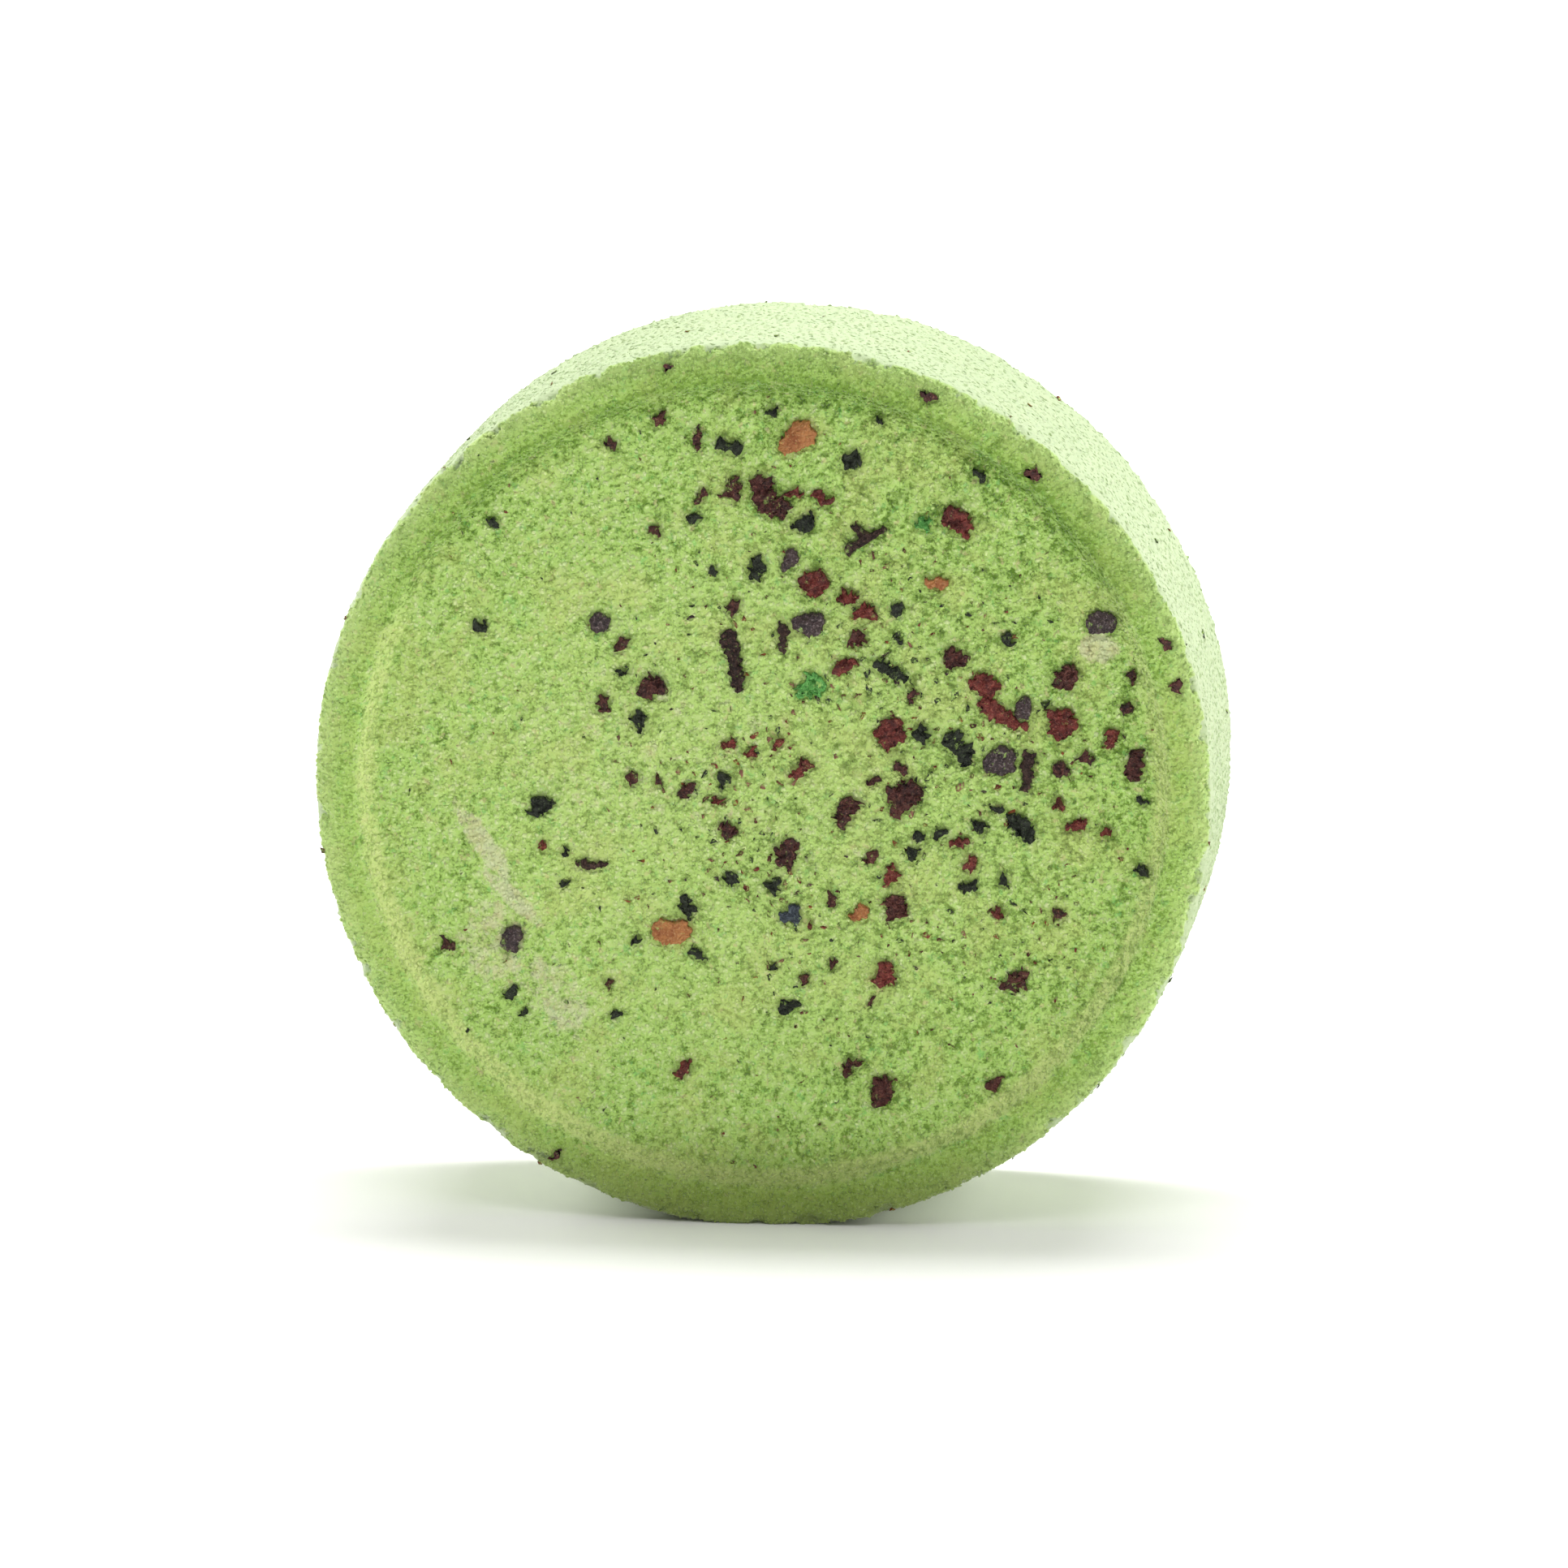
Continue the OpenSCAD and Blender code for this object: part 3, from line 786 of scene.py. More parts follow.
def scatter_tree():
    """Lumps scattered over one zone of the skin, clear of the plant pieces, each with its own tint."""
    tree = group_tree("Scattered grains", {
        "Chips": ("Collection", None),
        "Zone": ("Float", 0.0),
        "Spacing": ("Float", 0.5 * MM),
        "Grain Size": ("Float", 0.4 * MM),
        "Least Size": ("Float", 0.6),
        "Stretch": ("Float", 1.3),
        "Flatness": ("Float", 0.75),
        "Lift": ("Float", 0.0),
        "Raggedness": ("Float", 0.2 * MM),
        "Clearance": ("Float", 0.05 * MM),
        "Gather": ("Float", 0.0),
        "Seed": ("Int", 0),
        "Material": ("Material", None),
    })
    n = Nodes(tree)
    given = n.add("NodeGroupInput").outputs
    seed, spacing = given["Seed"], given["Spacing"]
    off_zone = n.math("ABSOLUTE", n.minus(attribute(n, "zone"), given["Zone"]))
    chosen = n.compare("LESS_THAN", off_zone, 0.5)
    skin = n.add("GeometryNodeSeparateGeometry", {"Geometry": given["Geometry"], "Selection": chosen},
                 domain="FACE").outputs[0]
    density = n.math("DIVIDE", CROWDING, n.times(spacing, spacing))
    dots = n.add("GeometryNodeDistributePointsOnFaces",
                 {"Mesh": skin, "Distance Min": spacing, "Density Max": density, "Seed": seed},
                 distribute_method="POISSON", use_legacy_normal=False).outputs
    place = n.add("GeometryNodeInputPosition").outputs[0]
    close = n.compare("LESS_THAN", chip_distance(n, given["Chips"]), given["Clearance"])
    lonely = n.compare("GREATER_THAN", n.times(n.random(seed), given["Gather"]), crowd(n, place))
    drop = n.add("FunctionNodeBooleanMath", {0: close, 1: lonely}, operation="OR").outputs[0]
    up = n.scaled(dots["Normal"], given["Lift"])
    lifted = n.add("GeometryNodeSetPosition", {"Geometry": dots["Points"], "Offset": up}).outputs[0]
    kept = n.add("GeometryNodeDeleteGeometry", {"Geometry": lifted, "Selection": drop},
                 domain="POINT").outputs[0]
    tint = n.random(n.plus(seed, TINT_SEED))
    marked = n.add("GeometryNodeStoreNamedAttribute", {"Geometry": kept, "Name": "tint", "Value": tint},
                   data_type="FLOAT", domain="POINT").outputs[0]

    lump = n.add("GeometryNodeMeshIcoSphere", {"Radius": 0.5, "Subdivisions": 1}).outputs[0]
    lump = n.add("GeometryNodeSetShadeSmooth", {"Geometry": lump}).outputs[0]
    size = n.times(n.random(seed, given["Least Size"]), given["Grain Size"])
    spin = n.add("FunctionNodeRandomValue", {0: (0.0, 0.0, 0.0), 1: LUMP_TILTS, "Seed": seed},
                 data_type="FLOAT_VECTOR").outputs[0]
    spin = n.add("FunctionNodeEulerToRotation", {0: spin}).outputs[0]
    turn = n.add("FunctionNodeRotateRotation", {0: dots["Rotation"], 1: spin},
                 rotation_space="LOCAL").outputs[0]
    longer = n.random(n.plus(seed, STRETCH_SEED), LEAST_STRETCH, given["Stretch"])
    shape = n.add("ShaderNodeCombineXYZ", {0: n.times(size, longer), 1: size,
                                           2: n.times(size, given["Flatness"])}).outputs[0]
    grains = n.add("GeometryNodeInstanceOnPoints",
                   {"Points": marked, "Instance": lump, "Rotation": turn, "Scale": shape}).outputs[0]
    solid = n.add("GeometryNodeRealizeInstances", {"Geometry": grains}).outputs[0]
    bumps = n.add("ShaderNodeTexNoise", {"Vector": place, "Scale": 1.0 / RAGGED_WIDTH, "Detail": 1.0})
    bumps = n.add("ShaderNodeVectorMath", {0: bumps.outputs["Color"], 1: (0.5, 0.5, 0.5)},
                  operation="SUBTRACT")
    bumps = n.scaled(bumps.outputs[0], n.times(given["Raggedness"], 2.0))
    ragged = n.add("GeometryNodeSetPosition", {"Geometry": solid, "Offset": bumps}).outputs[0]
    n.add("NodeGroupOutput", {0: n.painted(ragged, given["Material"])})
    return tree


def scatter(name, slot, material, **values):
    """One piece of scattered lumps over the finished skin."""
    body = bpy.data.objects.get("pressed_body")
    if body is None:
        raise RuntimeError("the pressed body comes before its grains")
    tree = bpy.data.node_groups.get("Scattered grains") or scatter_tree()
    mesh = run_tree(body, tree, {"Chips": chip_collection(), "Material": material, **values}, name)
    if not mesh.polygons:
        raise RuntimeError(f"{name} is empty")
    keep_in_mould(mesh)
    piece = link_mesh(name, mesh)
    finish_piece(piece, slot)
    return piece


# ---------------------------------------------------------------- materials


def new_material(name, roughness, specular):
    """An empty material with its nodes helper, shader and object coordinates."""
    material = bpy.data.materials.new(name)
    material.use_nodes = True
    tree = material.node_tree
    shader = tree.nodes["Principled BSDF"]
    shader.inputs["Roughness"].default_value = roughness
    shader.inputs["Specular IOR Level"].default_value = specular
    n = Nodes(tree)
    place = n.add("ShaderNodeTexCoord").outputs["Object"]
    return material, n, shader, place


def bump(n, shader, height, depth):
    """Fine relief on the shader."""
    node = n.add("ShaderNodeBump", {"Strength": 1.0, "Distance": depth, "Height": height})
    n.set(shader.inputs["Normal"], node.outputs[0])


def blob(n, place, x_mm, up_mm, wide_mm, high_mm, turn_deg=0.0):
    """A soft-edged patch on the front face: 1 at its centre, 0 outside."""
    moved = n.add("ShaderNodeMapping", {
        "Location": (x_mm * MM, 0.0, OUTLINE["axis_z"] + up_mm * MM),
        "Rotation": (0.0, math.radians(-turn_deg), 0.0),
        "Scale": (wide_mm * MM / 2, 1.0, high_mm * MM / 2),
        "Vector": place,
    }, vector_type="TEXTURE").outputs[0]
    parts = n.split(moved)
    far = n.plus(n.times(parts["X"], parts["X"]), n.times(parts["Z"], parts["Z"]))
    return n.fade(far, "patch")


def strongest(n, place, patches):
    """The strongest of several patches at each point: each a blob's place and size, and its strength."""
    most = None
    for *patch, strength in patches:
        spot = n.times(blob(n, place, *patch), strength)
        most = spot if most is None else n.math("MAXIMUM", most, spot)
    return most


# Patches of painted shade on the rim, darkest at its top, upper right and lower right: across, up, width,
# height and turn (mm, degrees), and strength
RIM_SHADE_PATCHES = [
    (4, 32, 54, 7, 0, 0.36),
    (24, 21, 24, 7, -48, 0.30),
    (-22, 22, 20, 6, 45, 0.18),
    (20, -25, 26, 7, 39, 0.30),
    (-20, -25, 22, 7, -39, 0.10),
]

# Dusty patches on the face: across, up, width, height and turn (mm, degrees), and strength
DUST_PATCHES = [
    (-21.3, -4.8, 2.2, 9, 35, 1.25),
    (-19.0, -9.0, 1.8, 8, 48, 1.2),
    (-20.5, -12.5, 6.5, 9, 20, 0.85),
    (-15.5, -16.5, 5.5, 9, 38, 0.9),
    (-9, 2, 26, 20, 0, 0.45),
    (25.3, 11.0, 3.8, 2.8, 0, 1.3),
    (4, -2, 16, 14, 0, 0.35),
]

# The pale bloom over the face: across, up, width and height (mm)
BLOOM_PATCH = (0, -1, 48, 44)

# How far the lines between the front's parts, and the edges of the wall's painted light, wander
LIP_SWING = 0.8 * MM
PAINTED_LIGHT_WALL_SWING = 0.7 * MM
# How far the dust cloud swings the edge of a dusty patch
DUST_SWING = 3.6
# The rim's outer part, painted paler as a highlight towards the rounded edge that catches the light:
# starts this far outside the lip, is full this far inside the edge
EDGE_HIGHLIGHT_START = 0.6 * MM
EDGE_HIGHLIGHT_FULL = 0.4 * MM

# What each thing adds to or takes from the tone that picks dark, body or pale green; the pits, the step's
# top and the rim's shaded patches take painted shade from it
TONES = {
    "grains": 0.78,
    "small grains": 0.22,
    "tint": 0.05,
    "open side": 0.022,
    "rim grains": 0.6,
    "rim": 0.016,
    "pits": 0.07,
    "step_top_shade": 0.07,
    "rim_shade": 0.06,
}

# How strongly each colour covers the green where it is full; the covers for the step's top and the rim's
# shaded patches are painted shade, that for the rim's outer edge a painted highlight
COVERS = {
    "dye": 0.7,
    "leaf": 0.55,
    "tan": 0.5,
    "warm": 0.3,
    "rim": 0.3,
    "edge_highlight": 0.3,
    "step_top_shade": 0.45,
    "rim_shade": 0.5,
    "bloom": 0.18,
    "dust": 0.62,
}


def wander(n, place, name, swing):
    """A named noise centred on zero, at this swing."""
    return n.times(n.minus(n.named_noise(place, name), 0.5), swing)


def front_masks(n, place, parts):
    """Where each part of the front lies, 0 to 1: rim, pale step (its rubbed colour, partly painted
    light), painted shade at the step's top, painted shade patches on the rim and a painted highlight at
    the rim's outer edge.
    """
    lip_r = OUTLINE["lip_r"]
    reach = reach_from_axis(n, parts)
    height = n.minus(parts["Z"], OUTLINE["axis_z"])
    front = n.fade_mm(parts["Y"], "front")
    lip = n.plus(reach, wander(n, place, "lip", LIP_SWING))
    rim = n.times(n.fade_mm(lip, "rim", lip_r), front)
    step = n.times(n.fade_mm(lip, "step inner", OUTLINE["face_r"]), n.fade_mm(lip, "step outer", lip_r))
    # Partly painted light: the pale step only on its lower part, which faces up to the light
    step = n.times(n.times(step, front), n.fade_mm(height, "step painted light height"))
    # Painted shade at the step's top, which faces down under the lip
    step_top_shade = n.times(n.fade_mm(lip, "crease inner", lip_r), n.fade_mm(lip, "crease outer", lip_r))
    step_top_shade = n.times(n.times(step_top_shade, front), n.fade_mm(height, "crease height"))
    # Painted highlight: paler towards the rounded outer edge of the rim
    edge_highlight = n.ramp(reach, lip_r + EDGE_HIGHLIGHT_START, OUTLINE["radius"] - EDGE_HIGHLIGHT_FULL, 0.0, COVERS["edge_highlight"])
    return {
        "front": front,
        "rim": rim,
        "step": step,
        "step painted light strength": n.fade_mm(height, "step painted light strength"),
        "step_top_shade": step_top_shade,
        "rim_shade": n.times(strongest(n, place, RIM_SHADE_PATCHES), rim),
        "edge_highlight": n.times(edge_highlight, rim),
    }


def soap_tone(n, place, parts, masks, gaps):
    """A number that picks each grain's green: low for dark, high for pale, and lowered for painted shade
    in the pits, at the step's top and on the rim's shaded patches.
    """
    tint = n.add("ShaderNodeAttribute", attribute_name="tint", attribute_type="GEOMETRY").outputs["Fac"]
    tone = n.plus(
        n.times(n.named_noise(place, "grains"), TONES["grains"]),
        n.times(n.named_noise(place, "small grains"), TONES["small grains"]),
    )
    tone = n.plus(tone, n.times(n.minus(tint, 0.5), 0.0 if gaps else TONES["tint"]))
    open_side = n.times(n.fade_mm(parts["X"], "open side"), TONES["open side"])
    tone = n.minus(tone, n.times(open_side, masks["front"]))
    finer = n.minus(n.named_noise(place, "rim grains"), tone)
    tone = n.plus(tone, n.times(finer, n.times(masks["rim"], TONES["rim grains"])))
    # Painted shade: the pits are darkened as well as sunk
    masks = {**masks, "pits": pit_pattern(n, place)}
    for name in ("rim", "pits", "step_top_shade", "rim_shade"):
        tone = n.minus(tone, n.times(masks[name], TONES[name]))
    return tone


def soap_material(gaps=False):
    """Pressed soap: green grains of several tones, dye spots and dusty patches, with painted light and
    shade on the step, the rim, the back, the wall and the bottom; painted darker for the gaps, as shade
    between the grains.
    """
    name = "pressed soap gaps" if gaps else "pressed soap"
    if name in bpy.data.materials:
        return bpy.data.materials[name]
    c = bpy.context.scene.soap_colours
    material, n, shader, place = new_material(name, roughness=0.9, specular=0.2)
    shader.inputs["Sheen Weight"].default_value = 0.45
    shader.inputs["Sheen Roughness"].default_value = 0.45
    shader.inputs["Sheen Tint"].default_value = (0.97, 1.0, 0.86, 1.0)
    parts = n.split(place)
    masks = front_masks(n, place, parts)
    front = masks["front"]

    tone = soap_tone(n, place, parts, masks, gaps)
    green = n.mix(n.fade(tone, "body grains"), c.deep, c.body)
    # Painted shade between the grains: in the gaps the pale green is held back
    green = n.mix(n.fade(tone, "pale shaded gaps" if gaps else "pale grains"), green, c.pale)

    dye = n.times(n.fade(n.named_noise(place, "dye"), "dye"), COVERS["dye"])
    spots = n.fade(n.named_noise(place, "dye spots"), "dye spots")
    green = n.mix(n.times(n.math("MAXIMUM", dye, spots), COVERS["leaf"]), green, c.leaf)
    tan = n.fade(n.named_noise(place, "tan"), "tan")
    green = n.mix(n.times(tan, COVERS["tan"]), green, c.tan)
    warm = n.fade(n.named_noise(place, "warm"), "warm")
    green = n.mix(n.times(warm, COVERS["warm"]), green, c.warm)

    green = n.mix(n.times(masks["rim"], COVERS["rim"]), green, c.rim)
    # Partly real, partly painted light: the rubbed, paler step, stronger on its lower part where it faces
    # up to the light
    step_cover = n.times(masks["step painted light strength"], n.fade(tone, "step tone"))
    green = n.mix(n.times(masks["step"], step_cover), green, c.step)
    # Painted highlight: the rim paler towards its rounded outer edge
    green = n.mix(masks["edge_highlight"], green, c.pale)
    # Painted shade: the step's top is darkened towards deep green
    green = n.mix(n.times(masks["step_top_shade"], COVERS["step_top_shade"]), green, c.deep)
    # Painted shade: patches of the rim darkened towards deep green
    green = n.mix(n.times(masks["rim_shade"], COVERS["rim_shade"]), green, c.deep)
    bloom = n.times(blob(n, place, *BLOOM_PATCH), front)
    green = n.mix(n.times(bloom, COVERS["bloom"]), green, c.step)

    # Painted shade: the back face is darkened towards the rim green, to offset the strong lamps behind it
    green = n.mix(n.fade_mm(parts["Y"], "back", OUTLINE["back"]), green, c.rim)
    # Painted light: the side wall is turned paler, as if strongly lit from above and behind
    side = n.plus(parts["Y"], wander(n, place, "painted light wall edge", PAINTED_LIGHT_WALL_SWING))
    wall = n.fade_mm(side, "painted light wall front", OUTLINE["front"])
    wall = n.times(wall, n.fade_mm(side, "painted light wall back", OUTLINE["back"]))
    wall = n.times(wall, n.fade_mm(reach_from_axis(n, parts), "painted light wall reach", OUTLINE["radius"]))
    green = n.mix(wall, green, c.wall)
    # Painted shade: the front darkened towards the bottom, near the floor
    green = n.mix(n.times(n.fade_mm(parts["Z"], "floor_shade"), front), green, c.floor_shade)

    dust = n.plus(strongest(n, place, DUST_PATCHES), wander(n, place, "dust cloud", DUST_SWING))
    dust = n.times(n.times(n.fade(dust, "dust"), front), COVERS["dust"])
    powder = n.mix(n.fade(n.named_noise(place, "dust tint"), "dust tint"), c.dust, c.tan)
    green = n.mix(dust, green, powder)
    n.set(shader.inputs["Base Color"], green)
    bump(n, shader, n.named_noise(place, "soap relief"), depth=0.08 * MM)
    return material


# Parts of a plant skin's tone and relief
PLANT_PARTS = {
    "mottle": 0.7,
    "own tone": 0.3,
    "flecks": 0.75,
    "veins": 0.35,
    "powder": 0.7,
    "vein relief": 0.35,
    "fleck relief": 0.4,
}


def plant_material(name, main, dark, light, roughness, specular, mottle_mm):
    """A dried plant skin: three tones in mottles, wrinkles, and soap powder stuck to it."""
    material, n, shader, place = new_material(name, roughness, specular)
    mottle = n.noise(place, mottle_mm * MM, detail=4.0, roughness=0.65)
    own = n.named_noise(place, "plant tone")
    weight = n.plus(n.times(mottle, PLANT_PARTS["mottle"]), n.times(own, PLANT_PARTS["own tone"]))
    tone = n.mix(n.fade(weight, "plant tone"), dark, main)
    fleck = n.named_noise(place, "plant flecks")
    tone = n.mix(n.times(n.fade(fleck, "plant flecks"), PLANT_PARTS["flecks"]), tone, light)
    veins = n.edge_distance(place, 0.5 * mottle_mm * MM)
    tone = n.mix(n.times(n.fade(veins, "plant veins"), PLANT_PARTS["veins"]), tone, dark)
    powder = n.fade(n.named_noise(place, "plant powder"), "plant powder")
    tone = n.mix(n.times(powder, PLANT_PARTS["powder"]), tone, bpy.context.scene.soap_colours.body)
    n.set(shader.inputs["Base Color"], tone)
    wrinkle = n.plus(mottle, n.times(n.fade(veins, "plant wrinkles"), PLANT_PARTS["vein relief"]))
    wrinkle = n.plus(wrinkle, n.times(fleck, PLANT_PARTS["fleck relief"]))
    bump(n, shader, wrinkle, depth=0.14 * MM)
    return material


# The specks' colours after the first: where in the tint's range each begins, and is full
SPECK_TONES = (
    (0.26, 0.30, "hibiscus"),
    (0.50, 0.54, "rosehip"),
    (0.68, 0.70, "hibiscus_light"),
    (0.84, 0.86, "husk"),
    (0.92, 0.94, "peel_dark"),
)
SPECK_POWDER = 0.8


def speck_material():
    """Finest plant specks: each takes one of several dark tones."""
    colours = bpy.context.scene.plant_colours
    material, n, shader, place = new_material("plant specks", roughness=0.7, specular=0.3)
    tint = n.add("ShaderNodeAttribute", attribute_name="tint", attribute_type="GEOMETRY").outputs["Fac"]
    tone = colours.leaf
    for start, full, name in SPECK_TONES:
        tone = n.mix(n.ramp(tint, start, full), tone, getattr(colours, name))
    mottle = n.named_noise(place, "speck mottle")
    tone = n.mix(n.fade(mottle, "speck mottle"), tone, colours.leaf_dark)
    powder = n.fade(n.named_noise(place, "speck powder"), "speck powder")
    tone = n.mix(n.times(powder, SPECK_POWDER), tone, bpy.context.scene.soap_colours.body)
    n.set(shader.inputs["Base Color"], tone)
    bump(n, shader, mottle, depth=0.03 * MM)
    return material


# ---------------------------------------------------------------- dried chips


# Corners closer than this are one
DOUBLES = 0.002 * MM


def solid_pieces(node):
    """Each closed solid of a CAD node as its own plain mesh, its doubles merged."""
    bm = bmesh.new()
    bm.from_mesh(frame["nodes"][node].data)
    bmesh.ops.remove_doubles(bm, verts=bm.verts, dist=DOUBLES)
    left = set(bm.verts)
    meshes = []
    while left:
        island, queue = set(), [next(iter(left))]
        while queue:
            vert = queue.pop()
            if vert in island:
                continue
            island.add(vert)
            queue += [edge.other_vert(vert) for edge in vert.link_edges]
        left -= island
        index = {vert: k for k, vert in enumerate(sorted(island, key=lambda v: v.index))}
        faces = {face for vert in island for face in vert.link_faces}
        corners = [[index[v] for v in face.verts] for face in sorted(faces, key=lambda f: f.index)]
        mesh = bpy.data.meshes.new(node)
        mesh.from_pydata([vert.co[:] for vert in index], [], corners)
        meshes.append(mesh)
    bm.free()
    return sorted(meshes, key=lambda m: tuple(round(v, 7) for v in m.vertices[0].co))


def remeshed(mesh, voxel):
    """The solid rebuilt from even, small faces."""
    piece = link_mesh("remesh", mesh)
    modifier = piece.modifiers.new("remesh", "REMESH")
    modifier.mode = "VOXEL"
    modifier.voxel_size = voxel
    modifier.adaptivity = 0.0
    fine = evaluated_mesh(piece, mesh.name)
    bpy.data.objects.remove(piece)
    return fine


def long_axis(points):
    """Centre, length direction and half sizes of a flat chip, in the face's plane."""
    flat = points[:, [0, 2]]
    centre = (flat.min(axis=0) + flat.max(axis=0)) / 2
    _, directions = np.linalg.eigh(np.cov((flat - flat.mean(axis=0)).T))
    along = directions[:, 1]
    across = np.array([-along[1], along[0]])
    u = (flat - centre) @ along
    v = (flat - centre) @ across
    return centre, along, across, max(np.abs(u).max(), TINY), max(np.abs(v).max(), TINY)


# How far the noise moves for each step of its seed, and its roughness and gap between octaves
SEED_STEPS = (3.7, 1.3, 2.1)
FIELD_ROUGHNESS = 0.6
FIELD_GAP = 2.0


def field(points, size, seed, octaves=3):
    """Soft noise about -1 to 1 at each point."""
    shift = Vector([seed * step for step in SEED_STEPS])
    spots = (Vector(p) / size + shift for p in points)
    return np.array([noise.fractal(spot, FIELD_ROUGHNESS, FIELD_GAP, octaves) for spot in spots])


# Chips that differ from the plain rule: move right and up (mm), growth along and across, bend, taper
ODD_CHIPS = {
    "hibiscus_chip_1": (-0.15, -0.10, 1.05, 1.40, -0.22, 0.1),
    "seed_husk_2": (0.45, 0.25, 1.10, 1.15, 0.10, 0.0),
    "stalk_sliver_1": (0.00, -0.10, 1.10, 1.15, 0.05, 0.3),
    "stalk_sliver_2": (-0.15, -0.15, 1.12, 1.50, 0.08, 0.2),
    "stalk_sliver_4": (0.30, 0.05, 1.25, 1.60, 0.20, 0.2),
    "tea_leaf_flake_2": (0.05, 0.00, 1.25, 1.60, -0.20, 0.3),
    "tea_leaf_flake_3": (0.08, -0.08, 1.20, 1.50, 0.20, 0.3),
    "tea_leaf_flake_4": (0.00, 0.00, 1.20, 1.35, 0.10, -0.3),
    "rosehip_chip_1": (0.05, -0.05, 1.15, 1.25, 0.15, 0.5),
    "rosehip_chip_5": (0.00, -0.12, 1.15, 1.30, 0.05, -0.2),
    "rosehip_chip_6": (0.20, -0.25, 1.40, 1.25, -0.20, 0.3),
    "orange_peel_chip_1": (0.00, -0.05, 1.15, 1.30, 0.05, -0.4),
    "orange_peel_chip_2": (0.12, -0.05, 1.25, 1.35, -0.05, 0.1),
    "rim_crumbs_4": (0.60, -1.60, 1.20, 1.50, 0.10, 0.2),
}
USUAL_GROWTH = (1.14, 1.22)
USUAL_BEND = 0.18
USUAL_TAPER = 0.4

# Shares of a chip's curl: rolled across, rolled along, twisted, tilted
CURL_ACROSS, CURL_ALONG, CURL_TWIST, CURL_TILT = 0.6, 0.5, 0.35, 0.25
# The second, finer layer of wrinkles, as a share of the first
FINER = 0.4
# How far out from a chip's middle fraying goes on growing, and how deep it sinks as a share of its depth
FRAY_LIMIT = 1.4
SINK = 0.6
# The mean of u squared along a bent chip, taken off so that its middle stays where it is
BEND_MEAN = 0.33
# Widths of the fraying along and across
FRAY_ALONG, FRAY_ACROSS = 0.7 * MM, 0.45 * MM
# Added to a chip's seed for its finer wrinkles and its fraying along and across
FINER_SEED, ALONG_SEED, ACROSS_SEED = 50, 90, 130
# Room left between a chip and the mould's front
FRONT_ROOM = 0.03 * MM


def shape_chip(mesh, seed, odd, curl, dome, wrinkle, ragged, lift, wrinkle_mm=0.5):
    """Grows, bends, curls and wrinkles a chip and frays its edge. Heights are metres out of the face."""
    points = get_points(mesh)
    centre, along, across, half_l, half_w = long_axis(points)
    flat = points[:, [0, 2]] - centre
    u, v = flat @ along / half_l, flat @ across / half_w
    top = points[:, 1].min()
    depth = points[:, 1].max() - top
    share_up = np.clip((points[:, 1].max() - points[:, 1]) / depth, 0, 1)
    far = np.clip(u * u + v * v, 0, FRAY_LIMIT)
    rng = np.random.default_rng(seed)
    tip, roll = rng.uniform(-1, 1, 2)
    right, up, grow_l, grow_w, bend, taper = odd or (
        0.0,
        0.0,
        *USUAL_GROWTH,
        *rng.uniform(-USUAL_BEND, USUAL_BEND, 1),
        *rng.uniform(-USUAL_TAPER, USUAL_TAPER, 1),
    )
    rolled = CURL_ACROSS * v * v * np.sign(roll) + CURL_ALONG * u * u * tip
    height = curl * (rolled + CURL_TWIST * u * v + CURL_TILT * tip * u)
    height += dome * (1 - far)
    height += wrinkle * field(points, wrinkle_mm * MM, seed)
    height += FINER * wrinkle * field(points, FINER * wrinkle_mm * MM, seed + FINER_SEED, 2)
    height += lift
    points[:, 1] -= np.maximum(height, -SINK * depth) * share_up
    long = u * half_l * grow_l
    wide = v * half_w * grow_w * (1 + taper * u) + bend * half_l * (u * u - BEND_MEAN)
    places = np.stack([long, np.zeros_like(long), wide], axis=1)
    fray_l = field(places, FRAY_ALONG, seed + ALONG_SEED, 3) * ragged * far
    fray_w = field(places, FRAY_ACROSS, seed + ACROSS_SEED, 4) * ragged * far
    spot = centre + np.outer(long + fray_l, along) + np.outer(wide + fray_w, across)
    points[:, 0] = spot[:, 0] + right * MM
    points[:, 2] = spot[:, 1] + up * MM
    points[:, 1] = np.maximum(points[:, 1], OUTLINE["front"] + FRONT_ROOM)
    set_points(mesh, points)


def join_meshes(meshes, name):
    """One mesh of several."""
    bm = bmesh.new()
    for mesh in meshes:
        bm.from_mesh(mesh)
    joined = bpy.data.meshes.new(name)
    bm.to_mesh(joined)
    bm.free()
    return joined


# First seed of the chips, and what each CAD node and each solid of a node adds to it
CHIP_SEED, NODE_SEED, SOLID_SEED = 1000, 97, 13


def make_chips(nodes, slot, material, shape, voxel_mm=0.07):
    """A detailed dried piece for each CAD chip, made from the chip's own solid."""
    if not nodes:
        raise RuntimeError(f"no CAD nodes for {slot}")
    for number, node in enumerate(nodes):
        meshes = []
        for count, solid in enumerate(solid_pieces(node)):
            fine = remeshed(solid, voxel_mm * MM)
            odd = ODD_CHIPS.get(node) or ODD_CHIPS.get(f"{node}_{count + 1}")
            seed = CHIP_SEED + NODE_SEED * number + SOLID_SEED * count + len(node)
            shape_chip(fine, seed, odd, *(part * MM for part in shape))
            meshes.append(fine)
        mesh = join_meshes(meshes, node + "_dried")
        shade_smooth(mesh)
        mesh.materials.append(material)
        piece = link_mesh(node + "_dried", mesh)
        finish_piece(piece, slot, node)


